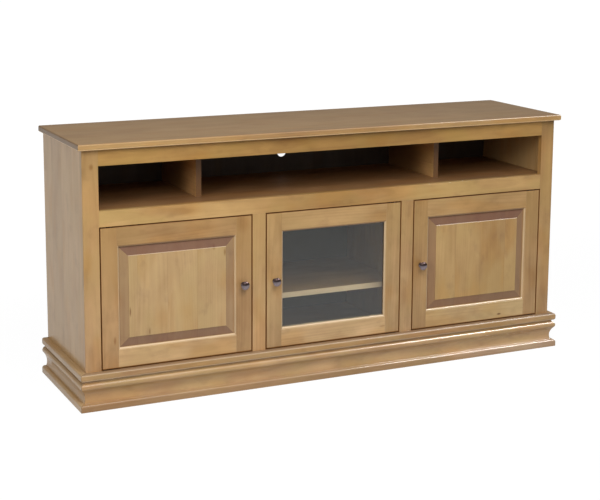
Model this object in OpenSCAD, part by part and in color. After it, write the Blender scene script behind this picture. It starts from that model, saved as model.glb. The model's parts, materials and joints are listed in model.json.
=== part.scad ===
// Long media cabinet: three open bays over two raised-panel doors and a glass door.
// Millimetres. X runs along the width, the front faces -Y, the floor is at Z = 0.
// The origin lies on the floor, in the middle of the width and of the whole depth.

/* [Case] */
// Width over the two side panels
case_w = 1796; // [1650:1:2100]
// Depth from the front of the face frame to the back
case_d = 451; // [390:1:560]
// Height from the floor to the underside of the top
case_h = 857; // [780:1:950]
// Thickness of the side panels
side_t = 20; // [18:0.5:25]
// Thickness of the cupboard floor
floor_t = 20; // [18:0.5:25]
// Height of the cupboard floor's upper face above the room's floor
floor_h = 126; // [110:1:160]
// Thickness of the deck under the open bays
deck_t = 20; // [18:0.5:25]
// Thickness of the partitions between the cupboards
partition_t = 20; // [18:0.5:25]
// Depth of the dadoes that hold the boards' ends
dado_d = 6; // [4:0.5:8]
// Height of the shoulder on the deck's ends, so that its top face ends at the side panels
deck_shoulder = 4; // [2:0.5:8]
// Thickness of the back panel
back_t = 6; // [4:0.5:9]
// How far the back panel laps into each side panel
back_lap = 10; // [6:0.5:14]
// How far the back panel runs down below the cupboard floor's underside
back_drop = 20; // [10:1:40]
// Thickness of the rail at the back of the base
back_rail_t = 20; // [18:0.5:25]
// Thickness of the upright supports under the cupboard floor
support_t = 20; // [18:0.5:30]

/* [Top] */
// Thickness of the top slab
top_t = 21; // [18:0.5:30]
// Overhang of the top at each end
top_over_end = 16; // [8:0.5:22]
// Overhang of the top at the front
top_over_front = 18; // [8:0.5:24]
// Radius along the top's upper edge
top_upper_r = 5; // [3:0.5:8]
// Radius along the top's lower edge
top_lower_r = 5; // [3:0.5:9]
// Width of the stretchers under the top
stretcher_w = 80; // [60:1:84]
// Thickness of the stretchers under the top
stretcher_t = 20; // [16:0.5:25]
// Distance between neighbouring screws that hold the top
top_screw_pitch = 600; // [400:1:700]
// Radius of the top screws' shanks
top_screw_r = 2.25; // [1.5:0.25:3]
// How far the top screws bite into the slab
top_screw_bite = 12; // [8:0.5:14]

/* [Face frame] */
// Thickness of the face frame
frame_t = 20; // [18:0.5:24]
// Width of the outer stiles
stile_w = 54; // [46:0.5:70]
// Width of the mullions between the doors
mullion_w = 49; // [42:0.5:70]
// Height of the rail over the open bays
top_rail_h = 54; // [44:0.5:70]
// Height of the open bays
bay_h = 146.5; // [110:0.5:190]
// Height of the rail between the open bays and the doors
mid_rail_h = 53; // [46:0.5:70]
// Height of the bottom rail, which hides behind the base
bottom_rail_h = 86; // [60:1:106]
// Width of the opening of each side door
side_open_w = 534; // [480:1:560]
// Radius on the case's front corners
corner_r = 4; // [2:0.5:6]

/* [Bay dividers] */
// Distance from the end of the case to the divider's outer face
divider_out = 427; // [360:1:520]
// Thickness of the dividers
divider_t = 20; // [16:0.5:24]
// How far the dividers stand back behind the front of the face frame
divider_set = 107; // [60:1:160]
// Radius of the cord hole in the back of the middle bay
cord_hole_r = 19; // [15:0.5:30]

/* [Doors] */
// Thickness of the doors
door_t = 20; // [19:0.5:22]
// Gap between a door and the face frame
door_gap = 3.5; // [2:0.1:4]
// Width of the door stiles
door_stile_w = 61; // [52:0.5:75]
// Height of the door rails
door_rail_h = 67; // [54:0.5:80]
// Width of the rounded edge inside the door frames
sticking_w = 6; // [4:0.5:8]
// Depth of the rounded edge inside the door frames
sticking_d = 6; // [4:0.5:7]
// Depth of the small step at the start of the rounded edge
sticking_step = 1; // [0.5:0.25:2]
// Distance from the door's front to the panel groove and to the glass
lip_t = 7.5; // [7:0.25:9]
// Depth of the groove and of the glass rabbet
groove_d = 10; // [8:0.5:14]
// Width of the panel groove
groove_w = 6.5; // [5:0.25:8]

/* [Raised panel] */
// Distance from the door's front to the panel's raised field
field_set = 1; // [0:0.25:3]
// Width of the panel's bevel
bevel_w = 31.5; // [20:0.5:45]
// Step between the raised field and the bevel
field_step = 2; // [1:0.25:3]
// Radius of the cove at the foot of that step
field_cove_r = 1.5; // [0.5:0.25:2.5]
// Play of the panel's tongue in the groove, front and back
tongue_play = 0.25; // [0.1:0.05:0.5]
// Room left for the panel or the glass to move in the frame's edge
edge_play = 2; // [1:0.25:3]

/* [Glass] */
// Thickness of the glass
glass_t = 4; // [3:0.5:6]
// Gap at each end of the two level glass stops
stop_gap = 0.2; // [0.1:0.05:0.5]

/* [Knobs] */
// How far the knobs stand out in front of the doors
knob_out = 28; // [22:0.5:36]
// Radius of the knob's head
knob_r = 15; // [12:0.5:18]
// Height of the dome on the knob's head
knob_dome = 6; // [3:0.5:9]
// Thickness of the rim round the head
knob_rim = 3; // [2:0.5:5]
// Radius of the knob's neck
knob_neck_r = 5.5; // [4.5:0.25:7]
// Radius of the knob's foot
knob_foot_r = 9; // [8:0.5:11]
// Radius of the knob's screw
knob_screw_r = 2; // [1.5:0.25:2.5]
// How far the screw reaches into the knob
knob_screw_bite = 12; // [8:0.5:16]

/* [Hinges and catches] */
// Distance from a door's hinged edge to its pivot
pivot_in = 12; // [12:0.25:16]
// Distance from a door's front to its pivot
pivot_back = 7; // [6.5:0.1:7.2]
// Radius of the hinge pins
pin_r = 2.5; // [2:0.1:3]
// Radial clearance of a hinge pin in its leaf
pin_fit = 0.05; // [0.02:0.01:0.08]
// Length of the hinge leaves
leaf_l = 45; // [36:1:55]
// Width of the hinge leaves
leaf_w = 11; // [9:0.5:12]
// Thickness of the hinge leaves
leaf_t = 2.5; // [2:0.25:3.5]
// Radius of the collar that carries the door
collar_r = 4.5; // [4:0.25:5]
// Gap between the collar and the door's leaf
collar_gap = 0.3; // [0.2:0.05:0.5]
// Width of a catch and its strike plate
catch_w = 40; // [30:1:60]
// Height of a catch
catch_h = 15; // [12:0.5:20]
// Depth of a catch
catch_d = 12; // [10:0.5:16]
// Thickness of a strike plate
strike_t = 1.5; // [1:0.25:2]
// Gap between a strike plate and its catch
strike_gap = 0.4; // [0.3:0.05:1]

/* [Shelves] */
// Height of the shelves' underside above the room's floor
shelf_h = 288; // [240:1:480]
// Thickness of the shelves
shelf_t = 19.5; // [16:0.5:25]
// How far the shelves stand back behind the front of the face frame
shelf_set = 45; // [40:1:120]
// Gap between a shelf and the boards round it
shelf_gap = 1; // [0.5:0.25:2]
// Gap between a shelf and the pins that carry it
shelf_seat = 0.2; // [0.1:0.05:0.3]
// Radius of the shelf pins
shelf_pin_r = 2.5; // [2:0.25:3]
// How far a shelf pin stands out of its board
shelf_pin_out = 8; // [6:0.5:12]
// Radial play of a shelf pin in its hole
shelf_pin_play = 0.1; // [0.05:0.05:0.2]
// Depth of the shelf pin holes
pin_hole_d = 9; // [7:0.5:9.5]
// Pitch of the shelf pin holes
pin_pitch = 32; // [25:1:40]
// Distance from a shelf's front or back edge to its pins
pin_inset = 50; // [30:1:80]

/* [Base] */
// Height of the rounded cap moulding
cap_h = 26; // [20:0.5:32]
// How far the cap moulding stands out from the case
cap_out = 22; // [16:0.5:26]
// Radius along the cap's upper edge
cap_upper_r = 7; // [4:0.5:9]
// Radius along the cap's lower edge
cap_lower_r = 9; // [5:0.5:13]
// How far the foot of the base moulding stands out from the case
foot_out = 24; // [18:0.5:28]
// Height of the foot of the base moulding
foot_h = 25; // [18:0.5:28]
// Radius on top of the foot
foot_r = 9; // [8:0.5:13.5]
// How far the nose of the base moulding stands out from the case
nose_out = 22; // [18:0.5:25]
// Radius of the nose
nose_r = 13; // [9:0.5:14]
// Thickness left at the bottom of the cove
cove_out = 6.3; // [5:0.1:9]
// Height of the deepest point of the cove
cove_h = 41; // [36:0.5:50]
// How far the fillet under the cap stands out from the case
fillet_out = 11; // [8:0.5:14]
// Height of the fillet under the cap
fillet_h = 5.5; // [3:0.5:9]

/* [Hidden] */

front_tan = [0.73, 0.60, 0.40];
side_tan = [0.66, 0.58, 0.48];
top_brown = [0.57, 0.48, 0.36];
inner_brown = [0.45, 0.33, 0.22];
glass_grey = [0.30, 0.30, 0.28, 0.5];
dark_bronze = [0.20, 0.19, 0.19];
steel_grey = [0.62, 0.62, 0.63];
plastic_white = [0.88, 0.87, 0.84];

hole_fn = 48;
arc_steps = 8;
overrun = 1;
screw_head_r = 2 * top_screw_r;
screw_head_h = 2.5;
knob_head_r = 4.5;
knob_head_h = 2.5;
screw_play = 0.25;
knob_bore_play = 0.1;

// Main planes of the case
half_w = case_w / 2;
face_y = (knob_out - case_d) / 2;
back_y = face_y + case_d;
behind_frame = face_y + frame_t;
inner_back = back_y - back_t;
side_inner = half_w - side_t;
deck_top = case_h - top_rail_h - bay_h;
deck_bottom = deck_top - deck_t;
floor_bottom = floor_h - floor_t;

// Door openings: hinged edge, direction into the opening, width
open_top = deck_top - mid_rail_h;
open_h = open_top - floor_h;
centre_open_w = case_w - 2 * (stile_w + mullion_w + side_open_w);
left_open = [-half_w + stile_w, 1, side_open_w];
centre_open = [centre_open_w / 2, -1, centre_open_w];
right_open = [half_w - stile_w, -1, side_open_w];
OPENINGS = [left_open, centre_open, right_open];
mullion_x = centre_open_w / 2 + mullion_w / 2;
door_h = open_h - 2 * door_gap;
knob_z = open_h / 2;

// Cupboards: left wall, right wall
partition_out = mullion_x + partition_t / 2;
partition_in = mullion_x - partition_t / 2;
CUPBOARDS = [[-side_inner, -partition_out], [-partition_in, partition_in], [partition_out, side_inner]];
shelf_front = face_y + shelf_set;
shelf_back = inner_back - shelf_gap;
pin_columns = [shelf_front + pin_inset, shelf_back - pin_inset];
pin_z = shelf_h - shelf_seat - shelf_pin_r;
pin_rows = [-1, 0, 1, 2, 3];

base_h = floor_h - cap_h;
base_reach = max(cap_out, foot_out, nose_out) + overrun;
top_screw_x = [-top_screw_pitch, 0, top_screw_pitch];
front_screw_y = behind_frame + stretcher_w / 2;
rear_screw_y = inner_back - stretcher_w / 2;

// Points on an arc about a centre, from one angle to another; first = 1 leaves out the first point
function arc(centre, r, from, to, first = 0) =
    [for (i = [first : arc_steps])
        let (a = from + (to - from) * i / arc_steps) centre + r * [cos(a), sin(a)]];

// A board given by its two extremes along each axis
module board(x, y, z) {
    translate([x[0], y[0], z[0]]) cube([x[1] - x[0], y[1] - y[0], z[1] - z[0]]);
}

// Extrude an outline in (Y, Z) along X
module along_x(x0, x1) {
    translate([x0, 0, 0]) rotate([90, 0, 90]) linear_extrude(x1 - x0) children();
}

// Extrude an outline in (X, Z) along Y
module along_y(y0, y1) {
    translate([0, y1, 0]) rotate([90, 0, 0]) linear_extrude(y1 - y0) children();
}

// A cylinder that points along +Y
module rod_y(x, y, z, r, h) {
    translate([x, y, z]) rotate([-90, 0, 0]) cylinder(r = r, h = h, $fn = hole_fn);
}

// A cylinder that points along +X
module rod_x(x, y, z, r, h) {
    translate([x, y, z]) rotate([0, 90, 0]) cylinder(r = r, h = h, $fn = hole_fn);
}

// Points up a rounded edge, from its underside to its top, with its nose at X = 0
function rounded_edge(thick, upper_r, lower_r) = concat(
    arc([lower_r, lower_r], lower_r, 270, 180),
    arc([upper_r, thick - upper_r], upper_r, 180, 90));

// Outline whose two ends are a run of points and its mirror image, half to each side of X = 0
function both_ends(side, half) = concat(
    [for (p = side) [p[0] - half, p[1]]],
    [for (i = [len(side) - 1 : -1 : 0]) [half - side[i][0], side[i][1]]]);

// Top slab: the front edge and both end edges are rounded, the back edge is square
module top_slab() {
    front = face_y - top_over_front;
    end = half_w + top_over_end;
    edge = rounded_edge(top_t, top_upper_r, top_lower_r);
    color(top_brown) difference() {
        intersection() {
            along_x(-end, end) translate([front, case_h])
                polygon(concat(edge, [[back_y - front, top_t], [back_y - front, 0]]));
            along_y(front, back_y) translate([0, case_h]) polygon(both_ends(edge, end));
        }
        for (x = top_screw_x, y = [front_screw_y, rear_screw_y])
            translate([x, y, case_h - overrun])
                cylinder(r = top_screw_r, h = top_screw_bite + overrun, $fn = hole_fn);
    }
}

// Shelf pin holes in a wall at x, drilled in the direction dir
module pin_holes(x, dir) {
    start = dir > 0 ? x - overrun : x - pin_hole_d;
    for (y = pin_columns, row = pin_rows)
        rod_x(start, y, pin_z + row * pin_pitch, shelf_pin_r + shelf_pin_play, pin_hole_d + overrun);
}

// Side panel on the left; the right one is its mirror image
module side_panel() {
    color(side_tan) difference() {
        board([-half_w, -side_inner], [behind_frame, back_y], [0, case_h]);
        board([-half_w + side_t - back_lap, -side_inner + overrun], [inner_back, back_y + overrun],
              [floor_bottom - back_drop, case_h + overrun]);
        board([-side_inner - dado_d, -side_inner + overrun], [behind_frame - overrun, inner_back],
              [floor_bottom, floor_h]);
        board([-side_inner - dado_d, -side_inner + overrun], [behind_frame - overrun, inner_back],
              [deck_bottom, deck_top - deck_shoulder]);
        pin_holes(-side_inner, -1);
    }
}

module left_side_panel() { side_panel(); }
module right_side_panel() { mirror([1, 0, 0]) side_panel(); }

// Partition on the left, let into the cupboard floor and the deck
module partition_board() {
    color(inner_brown) difference() {
        board([-partition_out, -partition_in], [behind_frame, inner_back],
              [floor_h - dado_d, deck_bottom + dado_d]);
        pin_holes(-partition_out, 1);
        pin_holes(-partition_in, -1);
    }
}

module left_partition() { partition_board(); }
module right_partition() { mirror([1, 0, 0]) partition_board(); }

// Partition grooves across a horizontal board, between two heights
module partition_dadoes(z) {
    for (s = [-1, 1])
        board([min(s * partition_out, s * partition_in), max(s * partition_out, s * partition_in)],
              [behind_frame - overrun, inner_back + overrun], z);
}

module cupboard_floor() {
    end = side_inner + dado_d;
    color(inner_brown) difference() {
        board([-end, end], [behind_frame, inner_back], [floor_bottom, floor_h]);
        partition_dadoes([floor_h - dado_d, floor_h + overrun]);
    }
}

module deck() {
    end = side_inner + dado_d;
    color(inner_brown) difference() {
        board([-end, end], [behind_frame, inner_back], [deck_bottom, deck_top]);
        partition_dadoes([deck_bottom - overrun, deck_bottom + dado_d]);
        for (s = [-1, 1]) mirror([s < 0 ? 1 : 0, 0, 0]) {
            board([half_w - divider_out - divider_t, half_w - divider_out],
                  [face_y + divider_set, inner_back + overrun], [deck_top - dado_d, deck_top + overrun]);
            board([side_inner, end + overrun], [behind_frame - overrun, inner_back + overrun],
                  [deck_top - deck_shoulder, deck_top + overrun]);
        }
    }
}

module back_panel() {
    edge = half_w - side_t + back_lap;
    color(inner_brown) difference() {
        board([-edge, edge], [inner_back, back_y], [floor_bottom - back_drop, case_h]);
        rod_y(0, inner_back - overrun, deck_top + bay_h / 2, cord_hole_r, back_t + 2 * overrun);
    }
}

module stretcher_board(y) {
    board([-side_inner, side_inner], y, [case_h - stretcher_t, case_h]);
}

// A stretcher with the clearance holes of its screws
module drilled_stretcher(y, screw_y) {
    color(inner_brown) difference() {
        stretcher_board(y);
        for (x = top_screw_x)
            translate([x, screw_y, case_h - stretcher_t - overrun])
                cylinder(r = top_screw_r + screw_play, h = stretcher_t + 2 * overrun, $fn = hole_fn);
    }
}

module front_stretcher() { drilled_stretcher([behind_frame, behind_frame + stretcher_w], front_screw_y); }
module rear_stretcher() { drilled_stretcher([inner_back - stretcher_w, inner_back], rear_screw_y); }

module top_screws() {
    color(steel_grey)
        for (x = top_screw_x, y = [front_screw_y, rear_screw_y])
            translate([x, y, case_h - stretcher_t - screw_head_h]) union() {
                cylinder(r = screw_head_r, h = screw_head_h, $fn = hole_fn);
                cylinder(r = top_screw_r, h = screw_head_h + stretcher_t + top_screw_bite, $fn = hole_fn);
            }
}

// Divider between the bays, let into the deck and notched round the stretchers
module divider_board() {
    color(front_tan) difference() {
        board([-half_w + divider_out, -half_w + divider_out + divider_t],
              [face_y + divider_set, inner_back], [deck_top - dado_d, case_h]);
        stretcher_board([behind_frame, behind_frame + stretcher_w]);
        stretcher_board([inner_back - stretcher_w, inner_back + overrun]);
    }
}

module left_divider() { divider_board(); }
module right_divider() { mirror([1, 0, 0]) divider_board(); }

module back_rail() {
    color(inner_brown)
        board([-side_inner, side_inner], [inner_back - back_rail_t, inner_back], [0, floor_bottom]);
}

module floor_supports() {
    color(inner_brown)
        for (s = [-1, 1])
            board([s * mullion_x - support_t / 2, s * mullion_x + support_t / 2],
                  [behind_frame, inner_back - back_rail_t], [0, floor_bottom]);
}

// Outer stile on the left; its front corner is rounded above the cap moulding
module outer_stile() {
    color(front_tan) difference() {
        board([-half_w, -half_w + stile_w], [face_y, behind_frame], [0, case_h]);
        translate([-half_w, face_y, floor_h]) linear_extrude(case_h - floor_h + overrun) difference() {
            translate([-overrun, -overrun]) square(corner_r + overrun);
            translate([corner_r, corner_r]) circle(r = corner_r, $fn = hole_fn);
        }
    }
}

module left_stile() { outer_stile(); }
module right_stile() { mirror([1, 0, 0]) outer_stile(); }

module mullion() {
    color(front_tan)
        board([-mullion_x - mullion_w / 2, -mullion_x + mullion_w / 2], [face_y, behind_frame],
              [floor_h, open_top]);
}

module left_mullion() { mullion(); }
module right_mullion() { mirror([1, 0, 0]) mullion(); }

module frame_rail(z) {
    board([-half_w + stile_w, half_w - stile_w], [face_y, behind_frame], z);
}

module top_rail() { color(front_tan) frame_rail([case_h - top_rail_h, case_h]); }

// Rail under the bays, with the mortises of the upper hinge plates
module mid_rail() {
    color(front_tan) difference() {
        frame_rail([open_top, deck_top]);
        for (o = OPENINGS) in_opening(o) translate([0, 0, open_h]) leaf_block();
    }
}

// Rail behind the base, with the mortises of the lower hinge plates
module bottom_rail() {
    color(front_tan) difference() {
        frame_rail([floor_h - bottom_rail_h, floor_h]);
        for (o = OPENINGS) in_opening(o) translate([0, 0, -leaf_t]) leaf_block();
    }
}

// Outline of the cap moulding, from the case outwards along +X
module cap_outline() {
    translate([cap_out, base_h]) mirror([1, 0])
        polygon(concat(rounded_edge(cap_h, cap_upper_r, cap_lower_r), [[cap_out, cap_h], [cap_out, 0]]));
}

// Outline of the base moulding: foot, cove and nose meet in smooth arcs, with a fillet on top
module base_outline() {
    nose_c = [nose_out - nose_r, base_h - fillet_h - nose_r];
    rise = nose_c[1] - cove_h;
    inward = cove_out - nose_c[0];
    // The cove's arc is tangent to the nose and upright at its deepest point
    cove_r = (inward * inward + rise * rise - nose_r * nose_r) / (2 * (nose_r - inward));
    cove_c = [cove_out + cove_r, cove_h];
    joint_a = atan2(rise, nose_c[0] - cove_c[0]);
    foot_a = 180 + asin((cove_h - foot_h) / cove_r);
    fillet_a = acos((fillet_out - nose_c[0]) / nose_r);
    polygon(concat(
        [[0, 0], [foot_out, 0]],
        arc([foot_out - foot_r, foot_h - foot_r], foot_r, 0, 90),
        arc(cove_c, cove_r, foot_a, joint_a),
        arc(nose_c, nose_r, joint_a - 180, fillet_a, first = 1),
        [[fillet_out, base_h], [0, base_h]]));
}

// A moulding along the front, mitred at both ends
module front_moulding() {
    intersection() {
        along_x(-half_w - base_reach, half_w + base_reach)
            translate([face_y, 0]) mirror([1, 0]) children();
        linear_extrude(floor_h) polygon([
            [-half_w - base_reach, face_y - base_reach], [half_w + base_reach, face_y - base_reach],
            [half_w, face_y], [-half_w, face_y]]);
    }
}

// A moulding along the left end, mitred at the front
module end_moulding() {
    intersection() {
        along_y(face_y - base_reach, back_y)
            translate([-half_w, 0]) mirror([1, 0]) children();
        linear_extrude(floor_h) polygon([
            [-half_w - base_reach, face_y - base_reach], [-half_w, face_y],
            [-half_w, back_y], [-half_w - base_reach, back_y]]);
    }
}

module cap_front() { color(front_tan) front_moulding() cap_outline(); }
module cap_left() { color(side_tan) end_moulding() cap_outline(); }
module cap_right() { color(side_tan) mirror([1, 0, 0]) end_moulding() cap_outline(); }
module base_front() { color(front_tan) front_moulding() base_outline(); }
module base_left() { color(side_tan) end_moulding() base_outline(); }
module base_right() { color(side_tan) mirror([1, 0, 0]) end_moulding() base_outline(); }

module shelf(cupboard) {
    color(inner_brown)
        board([cupboard[0] + shelf_gap, cupboard[1] - shelf_gap], [shelf_front, shelf_back],
              [shelf_h, shelf_h + shelf_t]);
}

module left_shelf() { shelf(CUPBOARDS[0]); }
module centre_shelf() { shelf(CUPBOARDS[1]); }
module right_shelf() { shelf(CUPBOARDS[2]); }

// Four pins for each shelf, two in each wall of its cupboard
module shelf_pins() {
    color(steel_grey)
        for (c = CUPBOARDS, y = pin_columns) {
            rod_x(c[0] - pin_hole_d, y, pin_z, shelf_pin_r, pin_hole_d + shelf_pin_out);
            rod_x(c[1] - shelf_pin_out, y, pin_z, shelf_pin_r, pin_hole_d + shelf_pin_out);
        }
}

// Put a door's part in its opening: the origin is the hinged lower corner at the front,
// and X runs into the opening
module in_opening(o) {
    translate([o[0], face_y, floor_h]) mirror([o[1] < 0 ? 1 : 0, 0, 0]) children();
}

// The room that a hinge leaf or plate takes, from z = 0 upwards
module leaf_block() {
    lead = leaf_w / 2 + overrun;
    x0 = door_gap + pivot_in - lead;
    y0 = pivot_back - leaf_w / 2;
    board([x0, x0 + leaf_l], [y0, y0 + leaf_w], [0, leaf_t]);
}

// Plate let into a rail, with the collar and the pin that stand on it towards -Z
module pin_plate() {
    union() {
        leaf_block();
        translate([door_gap + pivot_in, pivot_back, 0]) {
            translate([0, 0, collar_gap - door_gap])
                cylinder(r = collar_r, h = door_gap - collar_gap + overrun, $fn = hole_fn);
            translate([0, 0, collar_gap - door_gap - leaf_t])
                cylinder(r = pin_r, h = door_gap - collar_gap + leaf_t + overrun, $fn = hole_fn);
        }
    }
}

module hinge_plates() {
    color(steel_grey)
        for (o = OPENINGS) in_opening(o) {
            translate([0, 0, open_h]) pin_plate();
            mirror([0, 0, 1]) pin_plate();
        }
}

// Upper and lower hinge leaf of a door, each with the bore for its pin
module door_leaves(o) {
    color(steel_grey) in_opening(o)
        for (z = [door_gap, open_h - door_gap - leaf_t])
            translate([0, 0, z]) difference() {
                leaf_block();
                translate([door_gap + pivot_in, pivot_back, -overrun])
                    cylinder(r = pin_r + pin_fit, h = leaf_t + 2 * overrun, $fn = hole_fn);
            }
}

// Both leaf mortises of a door
module leaf_mortises() {
    for (z = [door_gap, open_h - door_gap - leaf_t]) translate([0, 0, z]) leaf_block();
}

// Section of a door stile or rail: X is the distance from its outer edge, Y is the depth.
// The inner edge is rounded in front and has a groove for the panel or a rabbet for the glass.
function bar_section(width, glazed) = concat(
    [[0, 0], [width - sticking_w, 0]],
    [for (a = [0 : 90 / arc_steps : 90])
        [width - sticking_w + sticking_w * sin(a),
         sticking_step + (sticking_d - sticking_step) * (1 - cos(a))]],
    [[width, lip_t], [width - groove_d, lip_t]],
    glazed ? [[width - groove_d, door_t]]
           : [[width - groove_d, lip_t + groove_w], [width, lip_t + groove_w], [width, door_t]],
    [[0, door_t]]);

// The same outline with its two axes exchanged, for a rail
function turned(points) = [for (p = points) [p[1], p[0]]];

// Full-height stile at the opening's left, still without mortise and hole
module stile_bar(glazed) {
    translate([door_gap, 0, door_gap]) linear_extrude(door_h) polygon(bar_section(door_stile_w, glazed));
}

module stile_bar_far(o, glazed) {
    translate([o[2], 0, 0]) mirror([1, 0, 0]) stile_bar(glazed);
}

module hinge_stile(o, glazed) {
    color(front_tan) in_opening(o) difference() {
        stile_bar(glazed);
        leaf_mortises();
    }
}

module knob_stile(o, glazed) {
    color(front_tan) in_opening(o) difference() {
        stile_bar_far(o, glazed);
        rod_y(o[2] - door_gap - door_stile_w / 2, -overrun, knob_z, knob_screw_r + screw_play,
              door_t + 2 * overrun);
    }
}

// Lower rail of a door: its ends are coped over the stiles' rounded edges and fill their grooves
module bottom_bar(o, glazed) {
    reach = door_stile_w - max(groove_d, sticking_w);
    difference() {
        along_x(door_gap + reach, o[2] - door_gap - reach)
            translate([0, door_gap]) polygon(turned(bar_section(door_rail_h, glazed)));
        stile_bar(glazed);
        stile_bar_far(o, glazed);
    }
}

module door_bottom_rail(o, glazed) {
    color(front_tan) in_opening(o) difference() {
        bottom_bar(o, glazed);
        leaf_mortises();
    }
}

module door_top_rail(o, glazed) {
    color(front_tan) in_opening(o) difference() {
        translate([0, 0, open_h]) mirror([0, 0, 1]) bottom_bar(o, glazed);
        leaf_mortises();
    }
}

// Section across a raised panel from one tongue to the other: X from the middle, Y the depth
function panel_section(half) =
    let (step_y = field_set + field_step, tongue_end = edge_play - groove_d)
    both_ends(concat(
        [[tongue_end, lip_t + groove_w - tongue_play], [tongue_end, lip_t + tongue_play],
         [overrun, lip_t + tongue_play]],
        arc([bevel_w - field_cove_r, step_y - field_cove_r], field_cove_r, 100, 0),
        [[bevel_w, field_set]]), half);

// Raised panel: the four bevels meet in mitres where the two sections cross
module door_panel(o) {
    half_x = o[2] / 2 - door_gap - door_stile_w;
    half_z = open_h / 2 - door_gap - door_rail_h;
    color(front_tan) in_opening(o) translate([o[2] / 2, 0, open_h / 2]) intersection() {
        translate([0, 0, -half_z - groove_d]) linear_extrude(2 * (half_z + groove_d))
            polygon(panel_section(half_x));
        along_x(-half_x - groove_d, half_x + groove_d) polygon(turned(panel_section(half_z)));
    }
}

module door_glass(o) {
    inset = door_gap + edge_play - groove_d;
    color(glass_grey) in_opening(o)
        board([inset + door_stile_w, o[2] - inset - door_stile_w], [lip_t, lip_t + glass_t],
              [inset + door_rail_h, open_h - inset - door_rail_h]);
}

// Four strips that hold the glass in its rabbet: two uprights, and two level ones between them
module glass_stops(o) {
    x = [door_gap + door_stile_w - groove_d, door_gap + door_stile_w];
    z = [door_gap + door_rail_h - groove_d, door_gap + door_rail_h];
    y = [lip_t + glass_t, door_t];
    color(front_tan) in_opening(o) {
        board(x, y, [z[0], open_h - z[0]]);
        board([o[2] - x[1], o[2] - x[0]], y, [z[0], open_h - z[0]]);
        for (level = [z, [open_h - z[1], open_h - z[0]]])
            board([x[1] + stop_gap, o[2] - x[1] - stop_gap], y, level);
    }
}

// Turned knob on its stile, with the screw that comes through from behind
module door_knob(o) {
    dome_r = (knob_r * knob_r + knob_dome * knob_dome) / (2 * knob_dome);
    dome_a = asin(knob_r / dome_r);
    rim_top = knob_out - knob_dome;
    foot_top = 2;
    flare_r = knob_foot_r - knob_neck_r;
    color(dark_bronze) in_opening(o) translate([o[2] - door_gap - door_stile_w / 2, 0, knob_z]) {
        rotate([90, 0, 0]) difference() {
            rotate_extrude($fn = hole_fn) polygon(concat(
                [[0, 0], [knob_foot_r, 0]],
                arc([knob_foot_r, foot_top + flare_r], flare_r, 270, 180),
                [[knob_neck_r, rim_top - knob_rim - flare_r], [knob_r, rim_top - knob_rim]],
                arc([0, knob_out - dome_r], dome_r, 90 - dome_a, 90)));
            translate([0, 0, -overrun])
                cylinder(r = knob_screw_r + knob_bore_play, h = knob_screw_bite + overrun, $fn = hole_fn);
        }
        union() {
            rod_y(0, -knob_screw_bite + knob_bore_play, 0, knob_screw_r,
                  knob_screw_bite + door_t + knob_head_h - knob_bore_play);
            rod_y(0, door_t, 0, knob_head_r, knob_head_h);
        }
    }
}

// Where a door's catch and strike plate sit, measured into the opening
function catch_x(o) = o[2] - door_gap - door_stile_w / 2 - catch_w / 2;

module door_strike(o) {
    color(steel_grey) in_opening(o)
        board([catch_x(o), catch_x(o) + catch_w], [door_t, door_t + strike_t],
              [door_gap + overrun, catch_h - overrun]);
}

// Magnetic catches, screwed to the cupboard floor behind the free edge of each door
module magnetic_catches() {
    y = door_t + strike_t + strike_gap;
    color(plastic_white)
        for (o = OPENINGS) in_opening(o)
            board([catch_x(o), catch_x(o) + catch_w], [y, y + catch_d], [0, catch_h]);
}

module left_door_hinge_stile() { hinge_stile(left_open, false); }
module left_door_knob_stile() { knob_stile(left_open, false); }
module left_door_top_rail() { door_top_rail(left_open, false); }
module left_door_bottom_rail() { door_bottom_rail(left_open, false); }
module left_door_panel() { door_panel(left_open); }
module left_door_knob() { door_knob(left_open); }
module left_door_leaves() { door_leaves(left_open); }
module left_door_strike() { door_strike(left_open); }
module centre_door_hinge_stile() { hinge_stile(centre_open, true); }
module centre_door_knob_stile() { knob_stile(centre_open, true); }
module centre_door_top_rail() { door_top_rail(centre_open, true); }
module centre_door_bottom_rail() { door_bottom_rail(centre_open, true); }
module centre_door_glass() { door_glass(centre_open); }
module centre_door_glass_stops() { glass_stops(centre_open); }
module centre_door_knob() { door_knob(centre_open); }
module centre_door_leaves() { door_leaves(centre_open); }
module centre_door_strike() { door_strike(centre_open); }
module right_door_hinge_stile() { hinge_stile(right_open, false); }
module right_door_knob_stile() { knob_stile(right_open, false); }
module right_door_top_rail() { door_top_rail(right_open, false); }
module right_door_bottom_rail() { door_bottom_rail(right_open, false); }
module right_door_panel() { door_panel(right_open); }
module right_door_knob() { door_knob(right_open); }
module right_door_leaves() { door_leaves(right_open); }
module right_door_strike() { door_strike(right_open); }

top_slab();
left_side_panel();
right_side_panel();
left_partition();
right_partition();
cupboard_floor();
deck();
back_panel();
left_divider();
right_divider();
front_stretcher();
rear_stretcher();
top_screws();
back_rail();
floor_supports();
left_stile();
right_stile();
left_mullion();
right_mullion();
top_rail();
mid_rail();
bottom_rail();
cap_front();
cap_left();
cap_right();
base_front();
base_left();
base_right();
shelf_pins();
hinge_plates();
magnetic_catches();
left_shelf();
centre_shelf();
right_shelf();
left_door_hinge_stile();
left_door_knob_stile();
left_door_top_rail();
left_door_bottom_rail();
left_door_panel();
left_door_knob();
left_door_leaves();
left_door_strike();
centre_door_hinge_stile();
centre_door_knob_stile();
centre_door_top_rail();
centre_door_bottom_rail();
centre_door_glass();
centre_door_glass_stops();
centre_door_knob();
centre_door_leaves();
centre_door_strike();
right_door_hinge_stile();
right_door_knob_stile();
right_door_top_rail();
right_door_bottom_rail();
right_door_panel();
right_door_knob();
right_door_leaves();
right_door_strike();
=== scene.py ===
"""Looks of a long media cabinet: stained hardwood, raised panels, a glass door and dark knobs."""

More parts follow.
